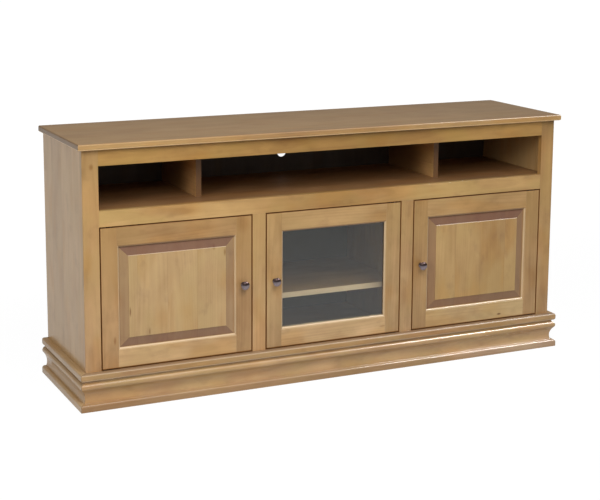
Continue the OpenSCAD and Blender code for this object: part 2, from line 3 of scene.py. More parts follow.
import json
import logging
import math
from collections.abc import Callable, Iterable, Sequence
from dataclasses import asdict, dataclass, field, replace
from enum import Enum
from functools import cache, reduce
from typing import Any

import bmesh
import bpy
from mathutils import Matrix, Vector


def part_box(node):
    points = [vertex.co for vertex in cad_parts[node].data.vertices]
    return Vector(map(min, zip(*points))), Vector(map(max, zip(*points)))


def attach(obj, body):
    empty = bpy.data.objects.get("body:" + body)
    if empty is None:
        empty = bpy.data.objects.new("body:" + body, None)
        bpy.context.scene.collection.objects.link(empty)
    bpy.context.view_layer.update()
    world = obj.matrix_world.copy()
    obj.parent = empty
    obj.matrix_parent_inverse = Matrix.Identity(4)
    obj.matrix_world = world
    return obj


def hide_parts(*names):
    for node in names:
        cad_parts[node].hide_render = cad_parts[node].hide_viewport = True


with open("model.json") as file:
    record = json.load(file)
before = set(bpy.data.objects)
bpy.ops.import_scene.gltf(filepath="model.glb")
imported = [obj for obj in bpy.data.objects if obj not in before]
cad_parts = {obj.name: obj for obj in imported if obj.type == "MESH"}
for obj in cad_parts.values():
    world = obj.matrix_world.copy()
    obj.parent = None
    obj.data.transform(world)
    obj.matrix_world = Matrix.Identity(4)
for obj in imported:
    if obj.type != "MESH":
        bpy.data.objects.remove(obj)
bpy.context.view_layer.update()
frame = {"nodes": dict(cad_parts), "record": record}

log = logging.getLogger("cabinet")

MM = 0.001
SHARP = math.radians(30)
FLAT = math.radians(0.5)
WELD = 1e-6
METAL_EASE = 0.2 * MM
GOLDEN_PART = 0.6180339
Colour = tuple[float, float, float]
WHITE = (1.0, 1.0, 1.0, 1.0)


def operator(operation: str, swapped: bool = False) -> Callable[["Wire", Any], "Wire"]:
    """Return an arithmetic operator for wires.

    Args:
        operation: the Math node's operation.
        swapped: whether the wire stands on the right-hand side.

    Returns:
        A method for wires.
    """

    def combine(wire: "Wire", other: Any) -> "Wire":
        """Return the Math node of the operation on both."""
        return wire.graph.math(operation, *((other, wire) if swapped else (wire, other)))

    return combine


class Wire:
    """A node socket that takes part in arithmetic: each operator adds a Math node to its tree."""

    def __init__(self, graph: "Graph", socket: bpy.types.NodeSocket) -> None:
        """Keep the socket and the graph that it belongs to."""
        self.graph = graph
        self.socket = socket

    __add__ = __radd__ = operator("ADD")
    __sub__ = operator("SUBTRACT")
    __rsub__ = operator("SUBTRACT", swapped=True)
    __mul__ = __rmul__ = operator("MULTIPLY")
    __truediv__ = operator("DIVIDE")

    def __neg__(self) -> "Wire":
        """Return -self."""
        return self * -1.0

    def __abs__(self) -> "Wire":
        """Return the size of self without its sign."""
        return self.apply("ABSOLUTE")

    def apply(self, operation: str, *others: Any) -> "Wire":
        """Return the Math node of that operation on self and the others."""
        return self.graph.math(operation, self, *others)

    def rise(self, low: float, high: float) -> "Wire":
        """Return a smooth step from 0 at low to 1 at high; low may be the larger one.

        Args:
            low: where the step is 0.
            high: where the step is 1.

        Returns:
            The step's wire.
        """
        inputs = {"Value": self, "From Min": low, "From Max": high}
        settings = {"interpolation_type": "SMOOTHSTEP", "clamp": True}
        return self.graph.call("ShaderNodeMapRange", "Result", inputs, **settings)

    def parts(self) -> tuple["Wire", "Wire", "Wire"]:
        """Return the X, Y and Z of a vector."""
        node = self.graph.node("ShaderNodeSeparateXYZ", inputs={"Vector": self})
        return tuple(self.graph.out(node, axis) for axis in "XYZ")


def highest(wires: Iterable[Wire]) -> Wire:
    """Return the highest of several wires."""
    return reduce(lambda first, second: first.apply("MAXIMUM", second), wires)


class Graph:
    """A node tree under construction, for a material or for geometry."""

    def __init__(self, tree: bpy.types.NodeTree) -> None:
        """Start from an empty tree."""
        self.tree = tree
        tree.nodes.clear()

    def node(
        self, kind: str, settings: dict[str, Any] | None = None, inputs: dict[str, Any] | None = None
    ) -> bpy.types.Node:
        """Add one node.

        Args:
            kind: Blender's name of the node type.
            settings: the node's own properties, set first.
            inputs: values or wires by the socket's identifier or name.

        Returns:
            The new node.
        """
        made = self.tree.nodes.new(kind)
        for name, value in (settings or {}).items():
            setattr(made, name, value)
        for name, value in (inputs or {}).items():
            socket = next(s for s in made.inputs if name == s.identifier or name == s.name)
            for item in value if isinstance(value, list) else [value]:
                if isinstance(item, Wire):
                    self.tree.links.new(item.socket, socket)
                else:
                    socket.default_value = item
        return made

    def out(self, node: bpy.types.Node, name: str) -> Wire:
        """Return one output of a node, by the socket's identifier or name."""
        return Wire(self, next(s for s in node.outputs if name in (s.identifier, s.name)))

    def call(self, kind: str, output: str, inputs: dict[str, Any] | None = None, **settings: Any) -> Wire:
        """Add one node, with its own properties as keywords, and return one of its outputs."""
        return self.out(self.node(kind, settings, inputs), output)

    def math(self, operation: str, *terms: Any) -> Wire:
        """Return the result of a Math node on wires or numbers."""
        inputs = dict(zip(("Value", "Value_001", "Value_002"), terms))
        return self.call("ShaderNodeMath", "Value", inputs, operation=operation)

    def vector(self, x: Any, y: Any, z: Any) -> Wire:
        """Return a vector made of three wires or numbers."""
        return self.call("ShaderNodeCombineXYZ", "Vector", {"X": x, "Y": y, "Z": z})


class MaterialGraph(Graph):
    """The node tree of a material, with the nodes that several finishes use."""

    def __init__(self, name: str) -> None:
        """Make the material with a Principled shader on its output.

        Args:
            name: the material's name.
        """
        self.material = bpy.data.materials.new(name)
        self.material.use_nodes = True
        super().__init__(self.material.node_tree)
        self.shader = self.node("ShaderNodeBsdfPrincipled")
        self.output = self.node("ShaderNodeOutputMaterial")
        self.tree.links.new(self.shader.outputs["BSDF"], self.output.inputs["Surface"])
        self.coordinates = self.node("ShaderNodeTexCoord")

    def place(self) -> Wire:
        """Return the point on the surface, in the object's own metres."""
        return self.out(self.coordinates, "Object")

    def facing(self) -> Wire:
        """Return the surface's normal, in the object's own axes."""
        return self.out(self.coordinates, "Normal")

    def noise(self, point: Wire, detail: float, scale: float = 1.0) -> Wire:
        """Return smooth noise about 0.5 at a point, in waves per metre of its scale."""
        inputs = {"Vector": point, "Scale": scale, "Detail": detail}
        return self.call("ShaderNodeTexNoise", "Fac", inputs)

    def blend(self, share: Any, first: Any, second: Any, mode: str = "MIX") -> Wire:
        """Return a colour between two, by a share from 0 to 1.

        Args:
            share: how much of the second colour there is.
            first: a colour or a wire.
            second: a colour or a wire.
            mode: how the second lies over the first.

        Returns:
            The blended colour.
        """
        first, second = (c if isinstance(c, Wire) else (*c, 1.0) for c in (first, second))
        inputs = {"Factor_Float": share, "A_Color": first, "B_Color": second}
        settings = {"data_type": "RGBA", "blend_type": mode, "clamp_factor": True}
        return self.call("ShaderNodeMix", "Result_Color", inputs, **settings)

    def surface(self, **sockets: Any) -> None:
        """Feed the Principled shader: words joined by _ name its sockets.

        Args:
            sockets: a value or a wire for each socket.
        """
        for word, value in sockets.items():
            name = word.replace("_", " ").title().replace("Ior", "IOR")
            if isinstance(value, Wire):
                self.tree.links.new(value.socket, self.shader.inputs[name])
            else:
                self.shader.inputs[name].default_value = (*value, 1.0) if isinstance(value, tuple) else value

    def relief(self, height: Wire, depth: float, strength: float = 0.6) -> None:
        """Bend the normal by a height from 0 to 1 that stands for a depth in metres."""
        inputs = {"Height": height, "Distance": depth, "Strength": strength}
        self.surface(normal=self.call("ShaderNodeBump", "Normal", inputs))


class Grain(Enum):
    """Row axes along a board's grain, across its face and through its thickness."""

    UPRIGHT = "ZXY"
    UPRIGHT_SIDE = "ZYX"
    LEVEL = "XZY"
    LEVEL_SIDE = "YZX"
    FLAT = "XYZ"


@dataclass(frozen=True)
class Mark:
    """A knot, fleck or darker patch in the wood, and on some boards painted shade or a painted highlight: its
    place across and along the grain, its radii and its stain, the colour that it multiplies by.
    """

    across: float
    along: float
    wide: float
    long: float
    stain: Colour


@dataclass(frozen=True)
class StainAndPaintedLight:
    """What one board's colour is multiplied by, its own stain and on some boards painted light and shade, and
    the marks in its face.
    """

    tint: Colour = (1.0, 1.0, 1.0)
    marks: tuple[Mark, ...] = ()


@dataclass(frozen=True)
class Rim:
    """An upright rectangle whose outline gets painted shade: a door's edge, or the edge of an opening."""

    left: float
    right: float
    bottom: float
    top: float
    within: bool
    width: float = 1.2 * MM

    def share(self, x: Wire, z: Wire) -> Wire:
        """Return 1 at the outline and beyond it, and 0 on the open face of the wood.

        Args:
            x: the point's X, in metres.
            z: the point's Z, in metres.

        Returns:
            A wire from 0 to 1.
        """
        outside = highest((self.left - x, x - self.right, self.bottom - z, z - self.top))
        far, near = self.width, 0.5 * self.width
        return outside.rise(-far, -near) if self.within else outside.rise(far, near)


@dataclass(frozen=True)
class Span:
    """A smooth step between two values of a wire, and how much it counts."""

    low: float
    high: float
    share: float = 1.0

    def of(self, wire: Wire) -> Wire:
        """Return the step on a wire."""
        step = wire.rise(self.low, self.high)
        return step if self.share == 1.0 else step * self.share


class Waves(Enum):
    """The noises in wood: waves per metre across and along the grain, and the detail in them."""

    WANDER = (7.0, 1.9, 1.0)
    STREAK = (55.0, 1.6, 3.0)
    FIBRE = (620.0, 9.0, 2.0)
    BLOTCH = (16.0, 7.0, 3.0)
    MOTTLE = (26.0, 15.0, 3.0)
    CLOUD = (9.0, 5.0, 2.0)
    DRIFT = (3.0, 1.5, 1.0)
    WARMTH = (11.0, 4.5, 2.0)
    PORE = (1500.0, 85.0, 1.0)


@dataclass(frozen=True)
class Growth:
    """How a tree's rings run through its boards, in metres; draws tell one board from the next."""

    ring: float = 6.2 * MM
    early: Span = Span(0.35, 0.86)
    late: Span = Span(1.0, 0.9)
    pith_depth: float = 35 * MM
    pith_lean: float = 50 * MM
    pith_spread: float = 90 * MM
    taper: float = 0.011
    taper_spread: float = 0.012
    wander: float = 22 * MM
    stave_spread: float = 0.9
    seam: Span = Span(0.494, 0.4995)
    shift: float = 3.1
    stave_shift: float = 0.1
    lane_draw: float = 9.7
    wander_draw: float = 7.0
    plank_draws: tuple[float, float, float] = (3.3, 5.7, 8.9)


class BoardGraph(MaterialGraph):
    """One board's material under construction: its axes, its rings and the figure in its wood."""

    def __init__(self, name: str, node: str, grain: Grain, stave: float, tree: Growth = Growth()) -> None:
        """Lay the axes along the grain and grow the figure.

        Args:
            name: the material's name.
            node: the CAD node whose place and name set the pattern.
            grain: the direction of the grain.
            stave: the width of the strips that the board is glued up from, or 0 for one plank.
            tree: how the rings run.
        """
        super().__init__(name)
        low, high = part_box(node)
        centre = {axis: (low[i] + high[i]) / 2 for i, axis in enumerate("XYZ")}
        chance = sum((i + 1) * ord(c) for i, c in enumerate(node)) * GOLDEN_PART % 1.0
        self.sides = dict(zip("XYZ", self.place().parts()))
        self.normal = dict(zip("XYZ", self.facing().parts()))
        self.along, self.across, self.depth = (self.sides[axis] for axis in grain.value)
        self.cut, self.slope = (abs(self.normal[axis]) for axis in grain.value[:2])
        self.seam: Wire | None = None
        if stave:
            cell = self.across / stave + chance
            lane = cell.apply("FLOOR")
            self.seam = tree.seam.of(abs(cell.apply("FRACT") - 0.5))
            dice = {"W": lane + chance * tree.lane_draw}
            tint = self.call("ShaderNodeTexWhiteNoise", "Color", dice, noise_dimensions="1D")
            self.tone, turn, lean = tint.parts()
            pith = (lane + (turn - chance + tree.stave_shift) * tree.stave_spread) * stave
        else:
            self.tone, turn, lean = (chance * k % 1.0 for k in tree.plank_draws)
            pith = centre[grain.value[1]] + (turn - 0.5) * tree.pith_spread
        shift = self.shift = self.tone * tree.shift
        u = self.across - pith
        v = self.depth - centre[grain.value[2]] + tree.pith_depth + lean * tree.pith_lean
        wander = self.grown(Waves.WANDER, 0.0, shift, chance * tree.wander_draw) * tree.wander
        taper = self.along * (tree.taper + tree.taper_spread * turn)
        ring = (u * u + v * v).apply("SQRT") + taper + wander
        phase = (ring / tree.ring).apply("FRACT")
        self.late = tree.early.of(phase) * tree.late.of(phase)
        self.streak = self.grown(Waves.STREAK, shift, 0.0, shift)
        self.fibre = self.grown(Waves.FIBRE, 0.0, 0.0, shift)
        self.blotch = self.grown(Waves.BLOTCH, shift, 0.0, shift)
        self.pore = PORE_DOTS.of(self.grown(Waves.PORE, 0.0, 0.0, 0.0))

    def grown(self, waves: Waves, *offset: Any) -> Wire:
        """Return noise stretched along the grain, offset across, through and along the board.

        Args:
            waves: the noise's lengths and detail.
            offset: what is added across, through and along the board.

        Returns:
            Noise about 0.5.
        """
        wide, long, detail = waves.value
        lengths = ((self.across, wide), (self.depth, wide), (self.along, long))
        point = [side * wave + start for (side, wave), start in zip(lengths, offset)]
        return self.noise(self.vector(*point), detail)


@dataclass(frozen=True)
class Wood:
    """Stained hardwood under satin lacquer.

    The stain lies between light and dark, end grain takes more of it, and stave is the width of
    the strips that wide boards are glued up from. Spans of level_span and under_span are shares of
    the normal that point up or down, and level_over is the lowest height that is darkened. Several
    fields paint shade or light into the colour, as the comments above them say.
    """

    name: str
    light: Colour
    dark: Colour
    end: Colour
    olive: Colour
    stave: float = 0.1
    figure: float = 1.0
    roughness: float = 0.42
    gloss: float = 0.3
    coat: float = 0.25
    # Painted shade on slopes across the grain, such as the panels' side bevels.
    glaze: float = 0.0
    # Painted highlight on rounded beads and slopes across the grain.
    rub: float = 0.0
    polish: float = 0.16
    # Painted light on front faces.
    lipping: Colour | None = None
    # Painted shade on faces that point up, from the given lowest height.
    level_stain: float = 0.0
    level_span: tuple[float, float] = (0.6, 0.98)
    level_over: float = -1.0
    # Painted highlight on crests that point well up.
    crest_rub: float = 0.0
    # Painted shade on faces that point down; on the top this colour is lighter, a painted light on its
    # rounded lower front edge.
    under: Colour | None = None
    under_span: tuple[float, float] = (0.1, 0.7)
    # Painted shade: warmer and darker higher up.
    ambering: float = 0.0
    # Darker towards the bottom of the foot.
    scuff: float = 0.0
    # Painted shade: darker towards the back.
    dulling: float = 0.0

    def figured(self, g: BoardGraph) -> Wire:
        """Return the stained wood with its streaks, clouds, pores and glue lines.

        Args:
            g: the board's graph.

        Returns:
            The colour, before the board's stain, painted light and shade, and wear.
        """
        drift = g.grown(Waves.DRIFT, 0.0, g.shift * -1.0, g.shift)
        share = 0.5
        for wire, mean, weight in (
            (g.streak, 0.5, 1.0),
            (g.blotch, 0.5, 2.0),
            (g.fibre, 0.5, 0.2),
            (g.late, 0.3, 0.2),
            (g.tone, 0.5, 0.4),
            (drift, 0.5, 1.2),
        ):
            share = share + (wire - mean) * weight
        colour = g.blend(0.5 + (share - 0.5) * self.figure, self.light, self.dark)
        cloud = g.grown(Waves.CLOUD, g.shift * -1.0, 0.0, 4.0)
        colour = g.blend(OLIVE_CLOUD.of(cloud), colour, self.olive)
        warmth = g.grown(Waves.WARMTH, 0.0, 5.0, g.shift * -1.0)
        colour = g.blend(AMBER_CLOUD.of(warmth), colour, AMBER, "MULTIPLY")
        mottle = g.grown(Waves.MOTTLE, 0.0, 0.0, g.shift)
        colour = g.blend(MOTTLING.of(mottle), colour, self.end)
        colour = g.blend(g.pore * PORE_SHARE, colour, self.end)
        return colour if g.seam is None else g.blend(g.seam * SEAM_SHARE, colour, self.end)

    def marked(self, g: BoardGraph, colour: Wire, marks: Iterable[Mark]) -> Wire:
        """Return the colour with knots, flecks and patches in it, some of them painted shade and painted
        highlights.

        Args:
            g: the board's graph.
            colour: the wood with its stain and painted light.
            marks: what to add.

        Returns:
            The marked colour.
        """
        for mark in marks:
            du = (g.across - mark.across) / mark.wide
            dw = (g.along - mark.along) / mark.long
            near = (du * du + dw * dw).apply("SQRT") + (g.streak - 0.5) * MARK_FRAY
            colour = g.blend(MARK_EDGE.of(near), colour, mark.stain, "MULTIPLY")
        return colour

    def aged(self, g: BoardGraph, colour: Wire) -> Wire:
        """Return the colour darkened by where it lies: painted shade higher up, darker towards the bottom of
        the foot, and painted shade towards the back.

        Args:
            g: the board's graph.
            colour: the marked wood.

        Returns:
            The darkened colour.
        """
        # Painted shade: warmer and darker higher up.
        if self.ambering:
            colour = g.blend(HEIGHT_SHADE_RISE.of(g.sides["Z"]) * self.ambering, colour, HEIGHT_SHADE_TINT, "MULTIPLY")
        # Darker towards the bottom of the foot.
        if self.scuff:
            colour = g.blend(FOOT_BAND.of(g.sides["Z"]) * self.scuff, colour, self.end)
        # Painted shade: darker towards the back of the bays.
        if self.dulling:
            colour = g.blend(SHADED.of(g.sides["Y"]) * self.dulling, colour, self.end)
        return colour

    def edged(self, g: BoardGraph, colour: Wire) -> Wire:
        """Return the colour with what edges, slopes and ends get: more stain on end grain, painted shade and
        painted highlights on slopes, crests and faces that point up or down, and painted light on front
        faces.

        Args:
            g: the board's graph.
            colour: the darkened wood.

        Returns:
            The finished colour.
        """
        # Painted shade on slopes across the grain.
        colour = g.blend(SHADED_SLOPE.of(g.slope) * self.glaze, colour, self.end)
        # Painted highlight on the beads.
        colour = g.blend(HIGHLIGHT_SLOPE.of(g.slope) * self.rub, colour, HIGHLIGHT_COLOUR)
        colour = g.blend(CUT_EDGE.of(g.cut) + CUT_END.of(g.cut), colour, self.end)
        upward, downward = g.normal["Z"], -g.normal["Z"]
        # Painted shade on faces that point up.
        if self.level_stain:
            high = g.sides["Z"].rise(self.level_over, self.level_over + LEVEL_FADE)
            colour = g.blend(upward.rise(*self.level_span) * high * self.level_stain, colour, self.end)
        # Painted highlight on crests.
        if self.crest_rub:
            colour = g.blend(CREST.of(upward) * self.crest_rub, colour, HIGHLIGHT_COLOUR)
        # Painted shade on faces that point down, and on the top a painted light.
        if self.under:
            colour = g.blend(downward.rise(*self.under_span) * UNDER_SHARE, colour, self.under)
        # Painted light on front faces.
        if self.lipping:
            colour = g.blend(FRONT_FACE.of(-g.normal["Y"]), colour, self.lipping)
        return colour

    def material(
        self,
        node: str,
        grain: Grain,
        glued: bool = False,
        dye: StainAndPaintedLight = StainAndPaintedLight(),
        rims: Sequence[Rim] = (),
    ) -> bpy.types.Material:
        """Make the material of one board.

        Args:
            node: the CAD node whose place and name set the pattern.
            grain: the direction of the grain.
            glued: whether the board is glued up from staves.
            dye: the board's own stain, on some boards painted light and shade, and its marks.
            rims: the outlines where painted shade is laid.

        Returns:
            A new material.
        """
        g = BoardGraph(f"{self.name}_{node}", node, grain, self.stave if glued else 0.0)
        colour = g.blend(1.0, self.figured(g), dye.tint, "MULTIPLY")
        colour = self.edged(g, self.aged(g, self.marked(g, colour, dye.marks)))
        # Painted shade: a dark brown band along the rims stands in for the shade in the door gaps.
        gap_shade = highest(rim.share(g.sides["X"], g.sides["Z"]) for rim in rims) if rims else 0.0
        rough = self.roughness + (g.fibre - 0.5) * FIBRE_ROUGHNESS
        g.surface(
            base_color=g.blend(gap_shade * GAP_SHADE_SHARE, colour, GAP_SHADE),
            roughness=rough + (g.blotch - 0.5) * BLOTCH_ROUGHNESS + gap_shade * GAP_ROUGHNESS,
            specular_ior_level=self.gloss,
            coat_weight=(1.0 - gap_shade) * self.coat,
            coat_roughness=self.polish,
        )
        g.relief(g.fibre * FIBRE_HEIGHT + g.late * LATE_HEIGHT - g.pore * PORE_HEIGHT, WOOD_RELIEF)
        return g.material


@dataclass(frozen=True)
class Supplied:
    """A plain material that comes with the solids."""

    name: str

    def material(self) -> bpy.types.Material:
        """Return the material."""
        return bpy.data.materials[self.name]


@dataclass(frozen=True)
class Finish:
    """A smooth material with faint clouds in it."""

    name: str
    colour: Colour
    roughness: float

    @cache
    def material(self) -> bpy.types.Material:
        """Make the material, the first time that it's asked for.

        Returns:
            The same material each time.
        """
        g = MaterialGraph(self.name)
        self.fill(g)
        return g.material

    def fill(self, g: MaterialGraph) -> None:
        """Lay out the material's nodes."""
        raise NotImplementedError


@dataclass(frozen=True)
class Metal(Finish):
    """Bare metal with fine brushing or casting texture, and painted shade on its upper faces where that is
    given.
    """

    worn: Colour
    # Painted shade on what faces partly up, below the very top.
    patina: Colour | None = None
    grit: float = 900.0
    cloud: float = 90.0
    wear: Span = Span(0.4, 0.75)
    above_level: Span = Span(0.0, 0.25)
    below_crest: Span = Span(0.97, 0.85)
    grit_roughness: float = 0.25
    cloud_roughness: float = 0.15
    relief: float = 0.05 * MM

    def fill(self, g: MaterialGraph) -> None:
        """Wear the metal in clouds, and paint shade on what faces partly up.

        Args:
            g: the material's graph.
        """
        fine = g.noise(g.place(), 3.0, self.grit)
        broad = g.noise(g.place(), 2.0, self.cloud)
        colour = g.blend(self.wear.of(broad), self.colour, self.worn)
        # Painted shade: what faces partly up is darkened, standing in for the dark it would reflect.
        if self.patina:
            upward = g.facing().parts()[2]
            share = self.above_level.of(upward) * self.below_crest.of(upward)
            colour = g.blend(share, colour, self.patina)
        rough = self.roughness + (fine - 0.5) * self.grit_roughness
        g.surface(base_color=colour, metallic=1.0, roughness=rough + (broad - 0.5) * self.cloud_roughness)
        g.relief(fine, self.relief, 0.5)


@dataclass(frozen=True)
class ClearGlass(Finish):
    """Float glass with the green-grey cast of its edges and a trace of dust."""

    dust: Span = Span(0.55, 0.8, 0.03)
    dust_cloud: float = 14.0
    bend: float = 1.5

    def fill(self, g: MaterialGraph) -> None:
        """Make the glass clear, and rougher where dust lies.

        Args:
            g: the material's graph.
        """
        haze = g.noise(g.place(), 3.0, self.dust_cloud)
        rough = self.roughness + self.dust.of(haze)
        g.surface(base_color=self.colour, roughness=rough, transmission_weight=1.0, ior=self.bend)


PORE_DOTS = Span(0.66, 0.74)
PORE_SHARE = 0.12
SEAM_SHARE = 0.35
OLIVE_CLOUD = Span(0.42, 0.62, 0.5)
AMBER_CLOUD = Span(0.48, 0.66, 0.55)
MOTTLING = Span(0.54, 0.74, 0.16)
MARK_EDGE = Span(1.6, 0.3)
MARK_FRAY = 0.6
# Heights where the painted shade higher up starts and is full.
HEIGHT_SHADE_RISE = Span(0.1, 0.85)
# The band along the foot's bottom that is darker.
FOOT_BAND = Span(0.031, 0.02)
# Depths where the painted shade towards the back starts and is full.
SHADED = Span(-0.1, 0.08)
# Where slopes across the grain get painted shade.
SHADED_SLOPE = Span(0.03, 0.15)
# Where beads get painted highlight.
HIGHLIGHT_SLOPE = Span(0.2, 0.45)
CUT_EDGE = Span(0.03, 0.15, 0.65)
CUT_END = Span(0.3, 0.9, 0.35)
# Where crests get painted highlight.
CREST = Span(0.45, 0.8)
# Which faces count as front faces for painted light.
FRONT_FACE = Span(0.5, 0.8)
LEVEL_FADE = 10 * MM
# How much of the painted under colour faces that point down get.
UNDER_SHARE = 0.8
# How much painted gap shade covers the rims.
GAP_SHADE_SHARE = 0.95
GAP_ROUGHNESS = 0.4
FIBRE_ROUGHNESS = 0.12
BLOTCH_ROUGHNESS = 0.08
FIBRE_HEIGHT = 0.5
LATE_HEIGHT = 0.25
PORE_HEIGHT = 0.6
WOOD_RELIEF = 0.12 * MM

# Colour of painted highlights.
HIGHLIGHT_COLOUR: Colour = (0.86, 0.69, 0.47)
AMBER: Colour = (0.97, 0.84, 0.62)
# Tint of the painted shade higher up.
HEIGHT_SHADE_TINT: Colour = (0.93, 0.88, 0.66)
# Colour of the painted shade in and along the door gaps.
GAP_SHADE: Colour = (0.24, 0.095, 0.018)
# End grain of the base, and the painted shade in the crevice under the cap.
CREVICE_SHADE_AND_END_GRAIN: Colour = (0.17, 0.066, 0.014)
# Frame: painted shade, warmer and darker higher up.
FRAME_WOOD = Wood(
    "frame_wood", (0.60, 0.355, 0.142), (0.42, 0.23, 0.086), (0.17, 0.08, 0.028), (0.50, 0.32, 0.11),
    ambering=1.0,
)
# Door rails and stiles: painted highlight on the beads, painted shade higher up and on faces that point down.
DOOR_WOOD = Wood(
    "door_wood", (0.59, 0.36, 0.155), (0.40, 0.23, 0.09), (0.17, 0.08, 0.028), (0.48, 0.305, 0.12),
    rub=0.5, ambering=1.0, under=(0.26, 0.13, 0.05), under_span=(0.1, 0.4),
)
STILE_WOOD = replace(DOOR_WOOD, name="stile_wood", rub=0.4)
# Panels: painted shade on the side bevels and on faces that point up and down, painted highlight on crests.
PANEL_WOOD = Wood(
    "panel_wood", (0.58, 0.38, 0.175), (0.42, 0.255, 0.108), (0.13, 0.047, 0.04), (0.52, 0.355, 0.15),
    stave=0.105, glaze=0.35, figure=0.85, level_stain=0.4, level_span=(0.05, 0.2), crest_rub=0.8,
    under=(0.2, 0.12, 0.08),
)
SIDE_WOOD = Wood(
    "side_wood", (0.565, 0.355, 0.157), (0.45, 0.27, 0.115), (0.2, 0.1, 0.04), (0.5, 0.317, 0.13),
    stave=0.12,
)
# The top: painted shade on its face and upper edge, and a lighter colour on its lower front edge, a painted
# light.
TOP_WOOD = Wood(
    "top_wood", (0.57, 0.335, 0.132), (0.42, 0.235, 0.09), (0.23, 0.135, 0.06), (0.5, 0.3, 0.11),
    stave=0.118, coat=0.1, level_stain=0.5, level_span=(0.15, 0.9), under=(0.95, 0.66, 0.34),
    under_span=(0.05, 0.5),
)
INNER_WOOD = Wood(
    "inner_wood", (0.31, 0.18, 0.075), (0.21, 0.115, 0.047), (0.14, 0.07, 0.027), (0.25, 0.15, 0.06),
    gloss=0.25, coat=0.0,
)
# The base: darker towards the bottom of the foot, and painted shade in the crevice under the cap, whose
# colour is also its end grain.
BASE_WOOD = replace(
    FRAME_WOOD, name="base_wood", ambering=0.0, coat=0.5, gloss=0.35, scuff=0.42, end=CREVICE_SHADE_AND_END_GRAIN,
    level_stain=0.9, level_span=(0.3, 0.8), level_over=0.093,
)
# The cap: painted highlight where its faces turn up or down, painted shade on its upper edge and in the
# crevice beneath it.
CAP_WOOD = replace(
    FRAME_WOOD, name="cap_wood", ambering=0.0, rub=0.45, coat=0.1, level_stain=0.7,
    level_span=(0.2, 0.8), under=CREVICE_SHADE_AND_END_GRAIN, under_span=(0.6, 0.95),
)
# Painted shade in the crevice under the cap's ends.
SIDE_CAP_WOOD = replace(SIDE_WOOD, name="side_cap_wood", under=CREVICE_SHADE_AND_END_GRAIN, under_span=(0.72, 0.98))
# Dividers: painted shade towards the back of the bays.
DIVIDER_WOOD = replace(FRAME_WOOD, name="divider_wood", ambering=0.0, dulling=0.9)
# Painted light on the shelves' front faces.
SHELF_WOOD = replace(INNER_WOOD, name="shelf_wood", lipping=(0.58, 0.42, 0.25))
# Near black: the back board's own dark colour, and painted shade for the depth of the bays.
BACK_WOOD = Wood(
    "back_wood", (0.085, 0.068, 0.052), (0.058, 0.046, 0.036), (0.05, 0.037, 0.026), (0.07, 0.057, 0.044),
    stave=0.3, gloss=0.2, coat=0.0,
)
# The knobs' domes get painted shade on their upper faces.
PEWTER = Metal("polished_pewter", (0.25, 0.205, 0.215), 0.3, (0.18, 0.15, 0.16), (0.045, 0.03, 0.028))
STEEL = Supplied("hinge_steel")
# Dark steel for the hinge leaves and plates, which sit in the door gaps.
DARK_STEEL = Metal("browned_steel", (0.1, 0.06, 0.03), 0.45, (0.06, 0.04, 0.024))
WHITE_PLASTIC = Supplied("catch_plastic")
GLASS = ClearGlass("door_glass", (0.86, 0.89, 0.87), 0.01)

# Each board's tint is its stain's own tone, with painted light and shade where the comments say.
FRAME_STAINS_AND_PAINTED_LIGHT = {
    "left_stile": StainAndPaintedLight(
        (0.905, 0.93, 1.12),
        (
            # This mark darkens the stile's top: painted shade under the top's overhang.
            Mark(-0.87, 0.85, 1.0, 0.11, (0.8, 0.83, 0.85)),
            Mark(-0.867, 0.801, 0.007, 0.009, (0.72, 0.62, 0.5)),
        ),
    ),
    # The mark darkens the stile's top: painted shade under the top's overhang.
    "right_stile": StainAndPaintedLight((0.915, 0.94, 1.1), (Mark(0.87, 0.85, 1.0, 0.06, (0.84, 0.86, 0.85)),)),
    "left_mullion": StainAndPaintedLight((0.95, 0.99, 1.2)),
    "right_mullion": StainAndPaintedLight((0.88, 0.915, 1.11)),
    # Painted shade: the top rail sits in the shade of the top's overhang.
    "top_rail": StainAndPaintedLight((0.79, 0.8, 0.76), (Mark(0.83, 0.02, 1.0, 0.3, (0.79, 0.76, 0.71)),)),
    "mid_rail": StainAndPaintedLight(
        (0.99, 1.07, 1.27),
        (
            Mark(0.63, -0.04, 1.0, 0.24, (0.78, 0.72, 0.66)),
            Mark(0.699, -0.341, 0.0015, 0.008, (0.6, 0.5, 0.4)),
        ),
    ),
    "bottom_rail": StainAndPaintedLight((0.86, 0.84, 0.82)),
}
BASE_STAINS_AND_PAINTED_LIGHT = {
    "cap_front": StainAndPaintedLight((0.89, 0.91, 1.09)),
    # The mark lightens the foot near its right end: a painted sheen.
    "base_front": StainAndPaintedLight((0.93, 0.975, 1.12), (Mark(0.016, 0.8, 0.014, 0.36, (1.52, 1.76, 2.5)),)),
    "cap_left": StainAndPaintedLight((0.9, 0.94, 1.04)),
    "base_left": StainAndPaintedLight((0.93, 0.95, 1.02)),
}
